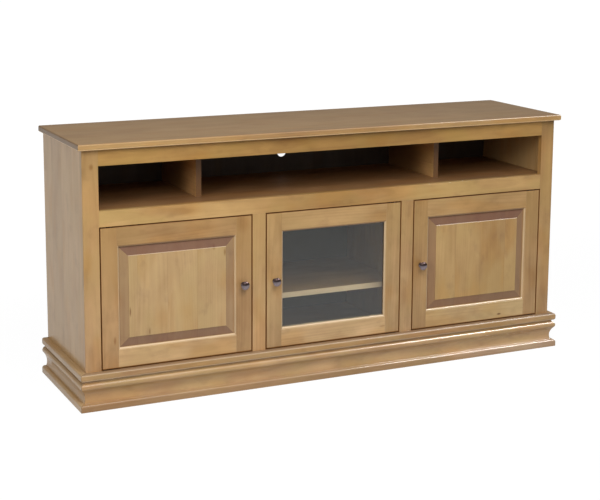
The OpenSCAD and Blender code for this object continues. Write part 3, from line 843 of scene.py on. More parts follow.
LEFT_DOOR_STAINS_AND_PAINTED_LIGHT = {
    "hinge_stile": StainAndPaintedLight((0.863, 0.837, 0.889), (Mark(-0.797, 0.222, 0.004, 0.012, (0.72, 0.6, 0.48)),)),
    "knob_stile": StainAndPaintedLight((0.84, 0.816, 0.867), (Mark(-0.345, 0.575, 0.02, 0.03, (0.84, 0.77, 0.68)),)),
    "top_rail": StainAndPaintedLight((0.847, 0.838, 0.944)),
    # Painted light: the bottom rail is lighter and paler, as if lit from the floor.
    "bottom_rail": StainAndPaintedLight((1.067, 1.116, 1.245)),
    "panel": StainAndPaintedLight(
        (0.95, 0.96, 0.99),
        (
            Mark(-0.743, 0.3135, 0.0022, 0.013, (0.5, 0.4, 0.32)),
            Mark(-0.677, 0.24, 0.002, 0.01, (0.6, 0.5, 0.4)),
            Mark(-0.449, 0.504, 0.005, 0.009, (0.72, 0.62, 0.5)),
            Mark(-0.41, 0.483, 0.004, 0.012, (0.68, 0.58, 0.46)),
        ),
    ),
}
CENTRE_DOOR_STAINS_AND_PAINTED_LIGHT = {
    "hinge_stile": StainAndPaintedLight((0.93, 0.964, 1.09)),
    "knob_stile": StainAndPaintedLight((0.93, 0.975, 1.09)),
    "top_rail": StainAndPaintedLight((0.928, 0.972, 1.135)),
    # Painted light: the bottom rail is lighter and paler, as if lit from the floor.
    "bottom_rail": StainAndPaintedLight((1.12, 1.21, 1.43), (Mark(0.1565, 0.192, 0.0014, 0.011, (0.6, 0.48, 0.36)),)),
}
RIGHT_DOOR_STAINS_AND_PAINTED_LIGHT = {
    "hinge_stile": StainAndPaintedLight((0.826, 0.82, 0.85)),
    "knob_stile": StainAndPaintedLight((0.863, 0.856, 0.898)),
    "top_rail": StainAndPaintedLight((0.947, 0.98, 1.12)),
    # Painted light: the bottom rail is lighter and paler, as if lit from the floor.
    "bottom_rail": StainAndPaintedLight((1.21, 1.37, 1.6), (Mark(0.1455, 0.681, 0.0035, 0.008, (0.34, 0.25, 0.18)),)),
    "panel": StainAndPaintedLight((0.93, 0.9, 0.8)),
}


def show(name: str, mesh: bpy.types.Mesh) -> bpy.types.Object:
    """Put a mesh into the scene as an object at the origin.

    Args:
        name: the new object's name.
        mesh: its mesh.

    Returns:
        The new object.
    """
    made = bpy.data.objects.new(name, mesh)
    bpy.context.scene.collection.objects.link(made)
    return made


def settled(piece: bpy.types.Object) -> bpy.types.Object:
    """Apply a piece's modifiers, so that only the plain mesh is left.

    Args:
        piece: an object with modifiers.

    Returns:
        The same object.
    """
    graph = bpy.context.evaluated_depsgraph_get()
    graph.update()
    mesh = bpy.data.meshes.new_from_object(piece.evaluated_get(graph))
    piece.modifiers.clear()
    old = piece.data
    piece.data = mesh
    bpy.data.meshes.remove(old)
    mesh.name = piece.name
    return piece


def eased(piece: bpy.types.Object, width: float) -> bpy.types.Object:
    """Round a piece's sharp edges, smooth its curves and return it with a plain mesh.

    Args:
        piece: an object whose mesh is merged.
        width: the width of the rounding, in metres.

    Returns:
        The same object.
    """
    for polygon in piece.data.polygons:
        polygon.use_smooth = True
    bevel = piece.modifiers.new("ease", "BEVEL")
    bevel.width = width
    bevel.segments = 2
    bevel.limit_method = "ANGLE"
    bevel.angle_limit = SHARP
    bevel.miter_outer = "MITER_ARC"
    normals = piece.modifiers.new("normals", "WEIGHTED_NORMAL")
    normals.keep_sharp = True
    return settled(piece)


def solid_copy(node: str) -> bpy.types.Object:
    """Copy a CAD node's mesh, merge its corners and join its flat triangles.

    Args:
        node: the CAD node.

    Returns:
        A new object at the origin.
    """
    shape = bmesh.new()
    shape.from_mesh(frame["nodes"][node].data)
    bmesh.ops.remove_doubles(shape, verts=shape.verts, dist=WELD)
    bmesh.ops.dissolve_limit(shape, angle_limit=FLAT, verts=shape.verts, edges=shape.edges)
    mesh = bpy.data.meshes.new(node + "_eased")
    shape.to_mesh(mesh)
    shape.free()
    for name in ("custom_normal", "sharp_edge", "sharp_face"):
        if name in mesh.attributes:
            mesh.attributes.remove(mesh.attributes[name])
    mesh.materials.clear()
    return show(node + "_eased", mesh)


def body_of(node: str) -> str:
    """Return the body that a CAD node belongs to."""
    return next(body for body, nodes in BODIES.items() if node in nodes)


def slot_of(node: str) -> str:
    """Return the record's material slot of a CAD node."""
    return next(s["material_slot"] for s in frame["record"]["subparts"] if s["node"] == node)


BODIES: dict[str, list[str]] = frame["record"]["behaviour"]["bodies"]


def finished(
    piece: bpy.types.Object, node: str, material: bpy.types.Material, stands_for: bool = True
) -> None:
    """Dress a piece, make it ride where its node rides, and report it.

    Args:
        piece: the object, in place.
        node: the CAD node that it replaces or sits on.
        material: its only material.
        stands_for: whether the CAD node is hidden in its favour.
    """
    piece.data.materials.clear()
    piece.data.materials.append(material)
    piece.data.polygons.foreach_set("material_index", [0] * len(piece.data.polygons))
    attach(piece, body_of(node))
    if stands_for:
        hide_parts(node)
        slot_of(node)
    log.info("%s rides on %s, %d faces", piece.name, body_of(node), len(piece.data.polygons))


def dressed(node: str, ease: float, material: bpy.types.Material) -> None:
    """Ease a copy of a CAD node and let it stand for the node."""
    finished(eased(solid_copy(node), ease), node, material)


class GeometryGraph(Graph):
    """A geometry tree with named inputs, grown once into a plain mesh."""

    def __init__(self, name: str, **sizes: Any) -> None:
        """Make the tree with one input for each size; its value gives the socket's type.

        Args:
            name: the tree's name.
            sizes: the value of each input, by its name.
        """
        super().__init__(bpy.data.node_groups.new(name, "GeometryNodeTree"))
        self.values = sizes
        face = self.tree.interface
        kinds = {int: "NodeSocketInt", float: "NodeSocketFloat", tuple: "NodeSocketVector"}
        for size, value in sizes.items():
            kind = kinds.get(type(value), "NodeSocketMaterial")
            face.new_socket(size, in_out="INPUT", socket_type=kind)
        face.new_socket("Geometry", in_out="OUTPUT", socket_type="NodeSocketGeometry")
        self.entry = self.node("NodeGroupInput")

    def size(self, name: str) -> Wire:
        """Return one named input of the tree."""
        return self.out(self.entry, name)

    def index(self) -> Wire:
        """Return the number of each point."""
        return self.call("GeometryNodeInputIndex", "Index")

    def joined(self, parts: list[Wire]) -> Wire:
        """Return several geometries as one."""
        return self.call("GeometryNodeJoinGeometry", "Geometry", {"Geometry": parts})

    def merged(self, mesh: Wire, distance: float = WELD) -> Wire:
        """Return a mesh with the points that coincide made one."""
        inputs = {"Geometry": mesh, "Distance": distance}
        return self.call("GeometryNodeMergeByDistance", "Geometry", inputs)

    def moved(self, mesh: Wire, place: Wire) -> Wire:
        """Return a mesh with its points at new places."""
        return self.call("GeometryNodeSetPosition", "Geometry", {"Geometry": mesh, "Position": place})

    def grid(self, columns: int, rows: Any) -> tuple[Wire, Wire, Wire]:
        """Return a grid, and the column and the row that each of its points is in.

        Args:
            columns: how many points lie one way.
            rows: how many lie the other way: a number or a wire.

        Returns:
            The mesh, and each point's column and row.
        """
        mesh = self.call("GeometryNodeMeshGrid", "Mesh", {"Vertices X": columns, "Vertices Y": rows})
        index = self.index()
        column = (index / rows).apply("FLOOR")
        return mesh, column, index - column * rows

    def smooth(self, mesh: Wire, sharp: float = SHARP) -> Wire:
        """Shade a mesh smooth, apart from edges that turn by more than an angle.

        Args:
            mesh: the mesh.
            sharp: the angle, in radians.

        Returns:
            The shaded mesh.
        """
        kind = "GeometryNodeSetShadeSmooth"
        soft = self.call(kind, "Geometry", {"Geometry": mesh}, domain="FACE")
        angle = self.call("GeometryNodeInputMeshEdgeAngle", "Unsigned Angle")
        inputs = {"Geometry": soft, "Selection": angle.apply("GREATER_THAN", sharp), "Shade Smooth": False}
        return self.call(kind, "Geometry", inputs, domain="EDGE")

    def grow(self, name: str, mesh: Wire) -> bpy.types.Object:
        """End the tree in its material and evaluate it.

        Args:
            name: the new object's name.
            mesh: the geometry that the tree gives.

        Returns:
            An object at the origin with a plain mesh and no modifier.
        """
        real = self.call("GeometryNodeRealizeInstances", "Geometry", {"Geometry": mesh})
        inputs = {"Geometry": real, "Material": self.size("Material")}
        whole = self.call("GeometryNodeSetMaterial", "Geometry", inputs)
        self.node("NodeGroupOutput", inputs={"Geometry": whole})
        piece = show(name, bpy.data.meshes.new(name))
        modifier = piece.modifiers.new("grow", "NODES")
        modifier.node_group = self.tree
        for item in self.tree.interface.items_tree:
            if item.in_out == "INPUT":
                modifier[item.identifier] = self.values[item.name]
        return settled(piece)


@dataclass(frozen=True)
class Row:
    """A straight row of fasteners: the first one's place, the step to the next one, and how many."""

    first: tuple[float, float, float]
    step: tuple[float, float, float]
    count: int


class Facing(Enum):
    """The turns that point a fastener's head away from the wood."""

    BACK = (-math.pi / 2, 0.0, 0.0)
    UP = (0.0, 0.0, 0.0)
    DOWN = (math.pi, 0.0, 0.0)


@dataclass
class Fasteners:
    """The heads of nails or screws, in rows on one node."""

    node: str
    kind: str
    rows: list[Row]
    facing: Facing
    radius: float
    height: float = 0.15 * MM
    slot: float = 0.0
    columns: int = 12
    foot: float = -0.3 * MM

    def head(self, g: GeometryGraph) -> Wire:
        """Return one head that faces up: rings of points, with a cross pressed into a screw's.

        Args:
            g: the tree.

        Returns:
            The head's mesh.
        """
        radius, height, slot = g.size("Radius"), g.size("Height"), g.size("Slot")
        # Each ring has its share of the radius, its level, and how far it swings into a cross.
        rings = [
            (0.0, g.size("Foot"), 0.0),
            (1.0, g.size("Foot"), 0.0),
            (1.0, height * 0.4, 0.0),
            (0.8, height, 0.0),
            (0.5, height, 0.35),
            (0.38, height - slot, 0.35),
            (0.0, height - slot, 0.0),
        ]
        mesh, column, row = g.grid(self.columns + 1, len(rings))
        angle = column * (2 * math.pi / self.columns)
        lobes = (angle * 4.0).apply("COSINE")
        reach, level = radius * 0.0, radius * 0.0
        for k, (share, top, star) in enumerate(rings):
            chosen = row.apply("COMPARE", float(k), 0.5)
            reach = reach + chosen * (lobes * star + 1.0) * share
            level = level + chosen * top
        out = reach * radius
        place = g.vector(angle.apply("COSINE") * out, angle.apply("SINE") * out, level)
        return g.smooth(g.merged(g.moved(mesh, place), 0.1 * WELD))

    def build(self) -> None:
        """Place the heads on their node and let them ride with it."""
        metal = STEEL.material()
        sizes = {"Radius": self.radius, "Height": self.height, "Slot": self.slot, "Foot": self.foot}
        g = GeometryGraph(f"{self.node}_{self.kind}_rows", **sizes, Material=metal)
        lines = []
        for row in self.rows:
            inputs = {"Count": row.count, "Start Location": row.first, "Offset": row.step}
            lines.append(g.call("GeometryNodeMeshLine", "Mesh", inputs, mode="OFFSET"))
        inputs = {"Points": g.joined(lines), "Instance": self.head(g), "Rotation": self.facing.value}
        placed = g.call("GeometryNodeInstanceOnPoints", "Instances", inputs)
        piece = g.grow(f"{self.node}_{self.kind}", placed)
        outward(piece)
        finished(piece, self.node, metal, stands_for=False)


def pair(node: str, facing: Facing, inset: float, radius: float, kind: str) -> Fasteners:
    """Return two screws on a node, level with each other and an inset from its ends.

    Args:
        node: the CAD node.
        facing: the way the heads point.
        inset: the distance from the node's ends to the screws, in metres.
        radius: the radius of a head, in metres.
        kind: what the piece's name says after the node's.

    Returns:
        The screws, ready to build.
    """
    low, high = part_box(node)
    middle = (low + high) / 2
    levels = {
        Facing.BACK: (high.y, middle.z),
        Facing.UP: (middle.y, high.z),
        Facing.DOWN: (middle.y, low.z),
    }
    first = (low.x + inset, *levels[facing])
    step = (high.x - low.x - 2 * inset, 0.0, 0.0)
    return Fasteners(node, kind, [Row(first, step, 2)], facing, radius, slot=0.3 * radius)


class Section:
    """A closed outline in X and Y inside a geometry tree, made of corners and arcs in order."""

    def __init__(self, graph: GeometryGraph) -> None:
        """Start with no points."""
        self.graph = graph
        self.runs: list[Wire] = []

    def arc(self, x: Any, y: Any, radius: Any, start: Any, stop: Any, steps: int = 20) -> None:
        """Add the points on an arc about (x, y), from one angle to another in radians.

        Args:
            x: the centre's X.
            y: the centre's Y.
            radius: the arc's radius.
            start: the first angle.
            stop: the last angle.
            steps: how many straight lines the arc is made of.
        """
        g = self.graph
        share = g.index() / max(steps, 1)
        angle = share * (stop - start) + start
        place = g.vector(angle.apply("COSINE") * radius + x, angle.apply("SINE") * radius + y, 0.0)
        points = g.call("GeometryNodePoints", "Geometry", {"Count": steps + 1, "Position": place})
        order = {"Geometry": points, "Name": "order", "Value": share * 0.5 + len(self.runs)}
        kind = {"data_type": "FLOAT", "domain": "POINT"}
        self.runs.append(g.call("GeometryNodeStoreNamedAttribute", "Geometry", order, **kind))

    def corner(self, x: Any, y: Any) -> None:
        """Add one corner."""
        self.arc(x, y, 0.0, 0.0, 0.0, 0)

    def curve(self) -> Wire:
        """Return the closed curve through all the points.

        Returns:
            One cyclic curve.
        """
        g = self.graph
        name = {"Name": "order"}
        weight = g.call("GeometryNodeInputNamedAttribute", "Attribute", name, data_type="FLOAT")
        inputs = {"Points": g.joined(self.runs), "Weight": weight}
        line = g.call("GeometryNodePointsToCurves", "Curves", inputs)
        return g.call("GeometryNodeSetSplineCyclic", "Geometry", {"Geometry": line, "Cyclic": True})


@dataclass(frozen=True)
class Run:
    """Where a moulding starts and ends, and which way it stands out at each end."""

    node: str
    start: tuple[float, float]
    end: tuple[float, float]
    start_out: tuple[float, float]
    end_out: tuple[float, float]
    grain: Grain
    wood: Wood


@dataclass(frozen=True)
class CapSizes:
    """The cap's section, in metres."""

    out: float = 22 * MM
    height: float = 26 * MM
    upper_radius: float = 7 * MM
    lower_radius: float = 9 * MM


@dataclass(frozen=True)
class BaseSizes:
    """The base moulding's section, in metres."""

    foot_out: float = 24 * MM
    foot_height: float = 25 * MM
    foot_radius: float = 9 * MM
    nose_out: float = 22 * MM
    nose_radius: float = 13 * MM
    cove_out: float = 6.3 * MM
    cove_height: float = 41 * MM
    fillet_out: float = 11 * MM
    fillet_height: float = 5.5 * MM


@dataclass
class Base:
    """The rounded cap and the cove moulding round the foot, mitred at the front corners."""

    dyes: dict[str, StainAndPaintedLight] = field(default_factory=dict)
    cap: CapSizes = CapSizes()
    base: BaseSizes = BaseSizes()
    ease: float = 0.6 * MM
    overlap: float = 0.01

    def runs(self, kind: str) -> list[Run]:
        """Return the three runs of a moulding, along the left end, the front and the right end.

        Args:
            kind: cap or base.

        Returns:
            The left, the front and the right run.
        """
        low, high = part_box("left_side_panel")
        left, back = low.x, high.y
        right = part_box("right_side_panel")[1].x
        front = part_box("left_stile")[0].y
        capped = kind == "cap"
        corners = [(left, back), (left, front), (right, front), (right, back)]
        outs = [(-1.0, 0.0), (-1.0, -1.0), (1.0, -1.0), (1.0, 0.0)]
        end = (Grain.LEVEL_SIDE, SIDE_CAP_WOOD if capped else SIDE_WOOD)
        ahead = (Grain.LEVEL, CAP_WOOD if capped else BASE_WOOD)
        return [
            Run(f"{kind}_{side}", corners[i], corners[i + 1], outs[i], outs[i + 1], *look)
            for i, (side, look) in enumerate((("left", end), ("front", ahead), ("right", end)))
        ]

    def cap_section(self, g: GeometryGraph) -> Section:
        """Draw the cap's outline: two rounded front edges over a square back.

        Args:
            g: the tree.

        Returns:
            The outline.
        """
        reach, height, foot = g.size("Out"), g.size("Height"), g.size("Foot")
        upper, lower = g.size("Upper Radius"), g.size("Lower Radius")
        outline = Section(g)
        outline.corner(0.0, foot)
        outline.arc(reach - lower, foot + lower, lower, math.radians(-90), 0.0)
        outline.arc(reach - upper, foot + height - upper, upper, 0.0, math.radians(90))
        outline.corner(0.0, foot + height)
        return outline

    def base_section(self, g: GeometryGraph) -> Section:
        """Draw the base's outline: foot, cove and nose in arcs that meet smoothly.

        Args:
            g: the tree.

        Returns:
            The outline.
        """
        top, nose_r, foot_r = g.size("Height"), g.size("Nose Radius"), g.size("Foot Radius")
        cove_out, cove_h, fillet_out = g.size("Cove Out"), g.size("Cove Height"), g.size("Fillet Out")
        nose_x = g.size("Nose Out") - nose_r
        nose_y = top - g.size("Fillet Height") - nose_r
        rise = nose_y - cove_h
        inward = cove_out - nose_x
        cove_r = (inward * inward + rise * rise - nose_r * nose_r) / ((nose_r - inward) * 2.0)
        cove_x = cove_out + cove_r
        joint = rise.apply("ARCTAN2", nose_x - cove_x)
        foot_x = g.size("Foot Out") - foot_r
        foot_y = g.size("Foot Height") - foot_r
        foot_angle = ((cove_h - g.size("Foot Height")) / cove_r).apply("ARCSINE") + math.pi
        nose_angle = ((fillet_out - nose_x) / nose_r).apply("ARCCOSINE")
        outline = Section(g)
        outline.corner(0.0, 0.0)
        outline.corner(g.size("Foot Out"), 0.0)
        outline.arc(foot_x, foot_y, foot_r, 0.0, math.radians(90))
        outline.arc(cove_x, cove_h, cove_r, foot_angle, joint + self.overlap, 24)
        outline.arc(nose_x, nose_y, nose_r, joint - math.pi, nose_angle, 28)
        outline.corner(fillet_out, top)
        outline.corner(0.0, top)
        return outline

    def swept(
        self,
        run: Run,
        draw: Callable[[GeometryGraph], Section],
        sizes: CapSizes | BaseSizes,
        **levels: float,
    ) -> None:
        """Sweep an outline along a run, with its mitres, and finish the piece.

        Args:
            run: where the piece lies.
            draw: the method that draws its outline.
            sizes: the dataclass with the outline's sizes.
            levels: heights that the outline starts or ends at.
        """
        path = {
            "Start": (*run.start, 0.0),
            "End": (*run.end, 0.0),
            "Start Out": (*run.start_out, 0.0),
            "End Out": (*run.end_out, 0.0),
        }
        named = {name.replace("_", " ").title(): value for name, value in asdict(sizes).items()}
        wood = run.wood.material(run.node, run.grain, dye=self.dyes.get(run.node, StainAndPaintedLight()))
        g = GeometryGraph(run.node + "_sweep", **named, **levels, **path, Material=wood)
        face = g.call("GeometryNodeFillCurve", "Mesh", {"Curve": draw(g).curve()}, mode="NGONS")
        inputs = {"Mesh": face, "Offset": g.vector(0.0, 0.0, 1.0), "Individual": False}
        drawn = g.call("GeometryNodeExtrudeMesh", "Mesh", inputs, mode="FACES")
        back = g.call("GeometryNodeFlipFaces", "Mesh", {"Mesh": face})
        whole = g.merged(g.joined([drawn, back]))
        out, up, share = g.call("GeometryNodeInputPosition", "Position").parts()
        ends = [g.size(name).parts()[:2] for name in path]
        place = [
            start + (end - start) * share + (first + (last - first) * share) * out
            for start, end, first, last in zip(*ends)
        ]
        piece = g.grow(run.node + "_moulding", g.smooth(g.moved(whole, g.vector(*place, up))))
        outward(piece)
        finished(eased(piece, self.ease), run.node, wood)

    def build(self) -> None:
        """Make the cap and the base moulding in three pieces each."""
        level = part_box("cap_front")[0].z
        for run in self.runs("cap"):
            self.swept(run, self.cap_section, self.cap, Foot=level)
        for run in self.runs("base"):
            self.swept(run, self.base_section, self.base, Height=level)


def outward(piece: bpy.types.Object) -> None:
    """Merge a closed piece's doubles and turn its faces outwards.

    Args:
        piece: an object with a closed mesh.
    """
    shape = bmesh.new()
    shape.from_mesh(piece.data)
    bmesh.ops.remove_doubles(shape, verts=shape.verts, dist=WELD)
    bmesh.ops.recalc_face_normals(shape, faces=shape.faces)
    shape.to_mesh(piece.data)
    shape.free()


@dataclass(frozen=True)
class Board:
    """A flat piece of the case that keeps its CAD outline and gets eased edges."""

    node: str
    wood: Wood
    grain: Grain
    glued: bool = False
    ease: float = 0.5 * MM
    dye: StainAndPaintedLight = StainAndPaintedLight()
    rims: tuple[Rim, ...] = ()

    def build(self) -> None:
        """Ease the board and give it its wood."""
        look = (self.grain, self.glued, self.dye, self.rims)
        dressed(self.node, self.ease, self.wood.material(self.node, *look))


def mirrored(name: str) -> list[str]:
    """Return a node's left and right names."""
    return ["left_" + name, "right_" + name]


@dataclass
class Case:
    """The box itself: top, sides, partitions, floors, back and the boards under the top.

    Each upright row of nails is given by its lowest nail's height, the pitch and the count. The
    rows along the sides start from the back panel's lower edge, and the others from the ground.
    """

    nail_radius: float = 2.2 * MM
    nail_inset: float = 6 * MM
    nails_across: int = 15
    side_nails: tuple[float, float, int] = (60 * MM, 93 * MM, 8)
    partition_nails: tuple[float, float, int] = (210 * MM, 90 * MM, 5)
    divider_nails: tuple[float, float, int] = (700 * MM, 50 * MM, 3)

    def boards(self) -> list[Board]:
        """Return every board of the case.

        Returns:
            The boards, from the top down.
        """
        # Painted light: the dividers are lighter, most of all at the front, where their painted shade is
        # least.
        divider = StainAndPaintedLight((1.2, 1.15, 1.15))
        level = ["cupboard_floor", "front_stretcher", "rear_stretcher"]
        return [
            Board("top_slab", TOP_WOOD, Grain.FLAT, True, 1.0 * MM, self.top_dye()),
            *(Board(n, SIDE_WOOD, Grain.UPRIGHT_SIDE, True, 0.8 * MM) for n in mirrored("side_panel")),
            *(Board(n, INNER_WOOD, Grain.UPRIGHT_SIDE, True) for n in mirrored("partition")),
            *(Board(n, DIVIDER_WOOD, Grain.LEVEL_SIDE, True, 1.0 * MM, divider) for n in mirrored("divider")),
            *(Board(n, INNER_WOOD, Grain.FLAT, True) for n in level),
            Board("deck", INNER_WOOD, Grain.FLAT, True, dye=StainAndPaintedLight((0.93, 0.84, 0.84))),
            Board("back_panel", BACK_WOOD, Grain.UPRIGHT, ease=0.3 * MM),
            Board("back_rail", INNER_WOOD, Grain.LEVEL),
            Board("floor_supports", INNER_WOOD, Grain.LEVEL_SIDE),
        ]

    def top_dye(self) -> StainAndPaintedLight:
        """Return the stain of the top, whose front edge is darker in the middle."""
        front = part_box("top_slab")[0].y
        return StainAndPaintedLight((0.89, 0.91, 0.93), (Mark(front, 0.0, 12 * MM, 0.3, (0.8, 0.76, 0.74)),))

    def nails(self) -> Fasteners:
        """Return the nails that hold the back to the sides, floors, partitions and dividers.

        Returns:
            The nails, ready to build.
        """
        low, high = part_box("back_panel")
        start = 6 * self.nail_inset
        step = (high.x - low.x - 2 * start) / (self.nails_across - 1)
        rows = []
        for node in ("back_rail", "cupboard_floor", "deck", "rear_stretcher"):
            bottom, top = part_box(node)
            level = (max(bottom.z, low.z) + top.z) / 2
            rows.append(Row((low.x + start, high.y, level), (step, 0.0, 0.0), self.nails_across))
        lowest, *pitch = self.side_nails
        ends = (low.x + self.nail_inset, high.x - self.nail_inset)
        uprights = [(x, low.z + lowest, *pitch) for x in ends]
        for name, levels in (("partition", self.partition_nails), ("divider", self.divider_nails)):
            uprights += [(sum(p.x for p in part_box(n)) / 2, *levels) for n in mirrored(name)]
        rows += [Row((x, high.y, first), (0.0, 0.0, pitch), count) for x, first, pitch, count in uprights]
        return Fasteners("back_panel", "nails", rows, Facing.BACK, self.nail_radius)

    def build(self) -> None:
        """Build all the boards and nail the back on."""
        for board in self.boards():
            board.build()
        self.nails().build()


@dataclass
class FaceFrame:
    """Stiles, mullions and rails on the front of the case, with each board's stain and painted light by node.
    """

    dyes: dict[str, StainAndPaintedLight] = field(default_factory=dict)
    ease: float = 0.4 * MM

    def build(self) -> None:
        """Build the seven members, each with its own stretch of grain."""
        rims = tuple(self.openings())
        upright = mirrored("stile") + mirrored("mullion")
        for node in [*upright, "top_rail", "mid_rail", "bottom_rail"]:
            grain = Grain.UPRIGHT if node in upright else Grain.LEVEL
            Board(node, FRAME_WOOD, grain, False, self.ease, self.dyes.get(node, StainAndPaintedLight()), rims).build()

    def openings(self) -> Iterable[Rim]:
        """Return the outline of the opening round each door, which gets painted shade.

        Returns:
            Three rims, from left to right.
        """
        bottom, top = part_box("bottom_rail")[1].z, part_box("mid_rail")[0].z
        sides = ["left_stile", "left_mullion", "right_mullion", "right_stile"]
        for first, last in zip(sides, sides[1:]):
            yield Rim(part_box(first)[1].x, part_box(last)[0].x, bottom, top, False)


@dataclass
class Knob:
    """A turned knob: a foot, a waist, a rim with a small bead, and a shallow dome."""

    out: float = 28 * MM
    radius: float = 15 * MM
    dome: float = 6 * MM
    rim: float = 3 * MM
    neck: float = 5.5 * MM
    foot: float = 9 * MM
    foot_rim: float = 2 * MM
    steps: int = 10
    sides: int = 64
    head: float = 4.5 * MM
    head_edge: float = 1.2 * MM
    head_height: float = 2.5 * MM
    head_sides: int = 32
    dome_share: float = 0.9
    ease: float = 0.25 * MM

    def profile(self) -> list[tuple[float, float]]:
        """Return points of (radius, distance from the door), from the foot to the dome's top.

        Returns:
            The outline's points.
        """
        dome_r = (self.radius**2 + self.dome**2) / (2 * self.dome)
        spread = math.degrees(math.asin(self.radius / dome_r)) * self.dome_share
        flare = self.foot - self.neck
        under = self.out - self.dome - self.rim
        lip = self.rim / 2
        points = [(0.0, 0.0), (self.foot, 0.0)]
        points += arc_points((self.foot, self.foot_rim + flare), flare, 270, 180, self.steps)
        points += [(self.neck, under - flare)]
        points += arc_points((self.radius - lip, under + lip), lip, -60, 90, self.steps)
        points += arc_points((0.0, self.out - dome_r), dome_r, 90 - spread, 90, 3 * self.steps)
        return points

    def screw(self) -> list[tuple[float, float]]:
        """Return points of (radius, distance from the door's back) on the screw's head."""
        edge = arc_points((self.head - self.head_edge, self.head_edge), self.head_edge, 0, 90, 6)
        return [(0.0, 0.0), (self.head, 0.0), *edge, (0.0, self.head_height)]

    def build(self, door: str) -> None:
        """Turn the knob on its stile and add the screw that comes through from behind.

        Args:
            door: the door's name.
        """
        node = door + "_knob"
        low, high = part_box(node)
        centre = (low + high) / 2
        front, back = (corner.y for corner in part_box(door + "_knob_stile"))
        turned = lathe(node + "_turned", self.profile(), self.sides, (centre.x, front, centre.z), 90)
        finished(eased(turned, self.ease), node, PEWTER.material())
        screw = lathe(node + "_screw", self.screw(), self.head_sides, (centre.x, back, centre.z), -90)
        finished(screw, node, STEEL.material(), stands_for=False)


def arc_points(
    centre: tuple[float, float], radius: float, start: float, stop: float, steps: int
) -> list[tuple[float, float]]:
    """Return points on an arc, from one angle to another in degrees."""
    angles = [math.radians(start + (stop - start) * i / steps) for i in range(steps + 1)]
    return [(centre[0] + radius * math.cos(a), centre[1] + radius * math.sin(a)) for a in angles]


def lathe(
    name: str, points: Iterable[tuple[float, float]], sides: int, place: Sequence[float], tilt: float
) -> bpy.types.Object:
    """Turn points about an axis, with closed poles.

    Args:
        name: the new object's name.
        points: (radius, height) along the outline.
        sides: the number of sides that a full turn gets.
        place: where the axis starts.
        tilt: how far the axis leans from +Z to -Y, in degrees.

    Returns:
        A smooth object at the origin.
    """
    shape = bmesh.new()
    rings = []
    angles = [2 * math.pi * i / sides for i in range(sides)]
    for radius, height in points:
        spots = [(radius * math.cos(a), radius * math.sin(a), height) for a in angles]
        rings.append([shape.verts.new(spot) for spot in (spots if radius >= WELD else [(0.0, 0.0, height)])])
    for low, high in zip(rings, rings[1:]):
        for i in range(sides):
            after = i + 1
            loop = [low[i % len(low)], low[after % len(low)], high[after % len(high)], high[i % len(high)]]
            corners = list(dict.fromkeys(loop))
            if len(corners) > 2:
                shape.faces.new(corners)
    bmesh.ops.remove_doubles(shape, verts=shape.verts, dist=WELD)
    bmesh.ops.recalc_face_normals(shape, faces=shape.faces)
    turn = Matrix.Translation(place) @ Matrix.Rotation(math.radians(tilt), 4, "X")
    bmesh.ops.transform(shape, matrix=turn, verts=shape.verts)
    for face in shape.faces:
        face.smooth = True
    mesh = bpy.data.meshes.new(name)
    shape.to_mesh(mesh)
    shape.free()
    return show(name, mesh)


@dataclass
class Door:
    """A framed door with its knob, hinge leaves and strike plate.

    Each pair of screws is given by its inset from the plate's ends and by the radius of a head.
    """

    name: str
    dyes: dict[str, StainAndPaintedLight] = field(default_factory=dict)
    foot_shade: float = 1.5 * MM
    ease: float = 0.35 * MM
    leaf_screws: tuple[float, float] = (14 * MM, 2.6 * MM)
    strike_screws: tuple[float, float] = (7 * MM, 2.4 * MM)

    def frame_members(self) -> None:
        """Ease the stiles and rails and give each its own board."""
        hinge, knob = (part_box(f"{self.name}_{side}_stile") for side in ("hinge", "knob"))
        left, right = min(hinge[0].x, knob[0].x), max(hinge[1].x, knob[1].x)
        # Painted shade along the door's edges, raised a little above its foot.
        rim = Rim(left, right, hinge[0].z + self.foot_shade, hinge[1].z, True)
        for part in ("hinge_stile", "knob_stile", "top_rail", "bottom_rail"):
            upright = part.endswith("stile")
            wood, grain = (STILE_WOOD, Grain.UPRIGHT) if upright else (DOOR_WOOD, Grain.LEVEL)
            dye = self.dyes.get(part, StainAndPaintedLight())
            Board(f"{self.name}_{part}", wood, grain, False, self.ease, dye, (rim,)).build()

    def hardware(self) -> None:
        """Dress the hinge leaves and the strike plate, and turn the knob."""
        for part, metal in (("leaves", DARK_STEEL), ("strike", STEEL)):
            dressed(f"{self.name}_{part}", METAL_EASE, metal.material())
        for facing, kind in ((Facing.UP, "upper_screws"), (Facing.DOWN, "lower_screws")):
            pair(self.name + "_leaves", facing, *self.leaf_screws, kind).build()
        pair(self.name + "_strike", Facing.BACK, *self.strike_screws, "screws").build()
        Knob().build(self.name)

    def build(self) -> None:
        """Build the frame, what it holds and the hardware."""
        self.frame_members()
        self.infill()
        self.hardware()

    def infill(self) -> None:
        """Build what the frame holds."""
        raise NotImplementedError


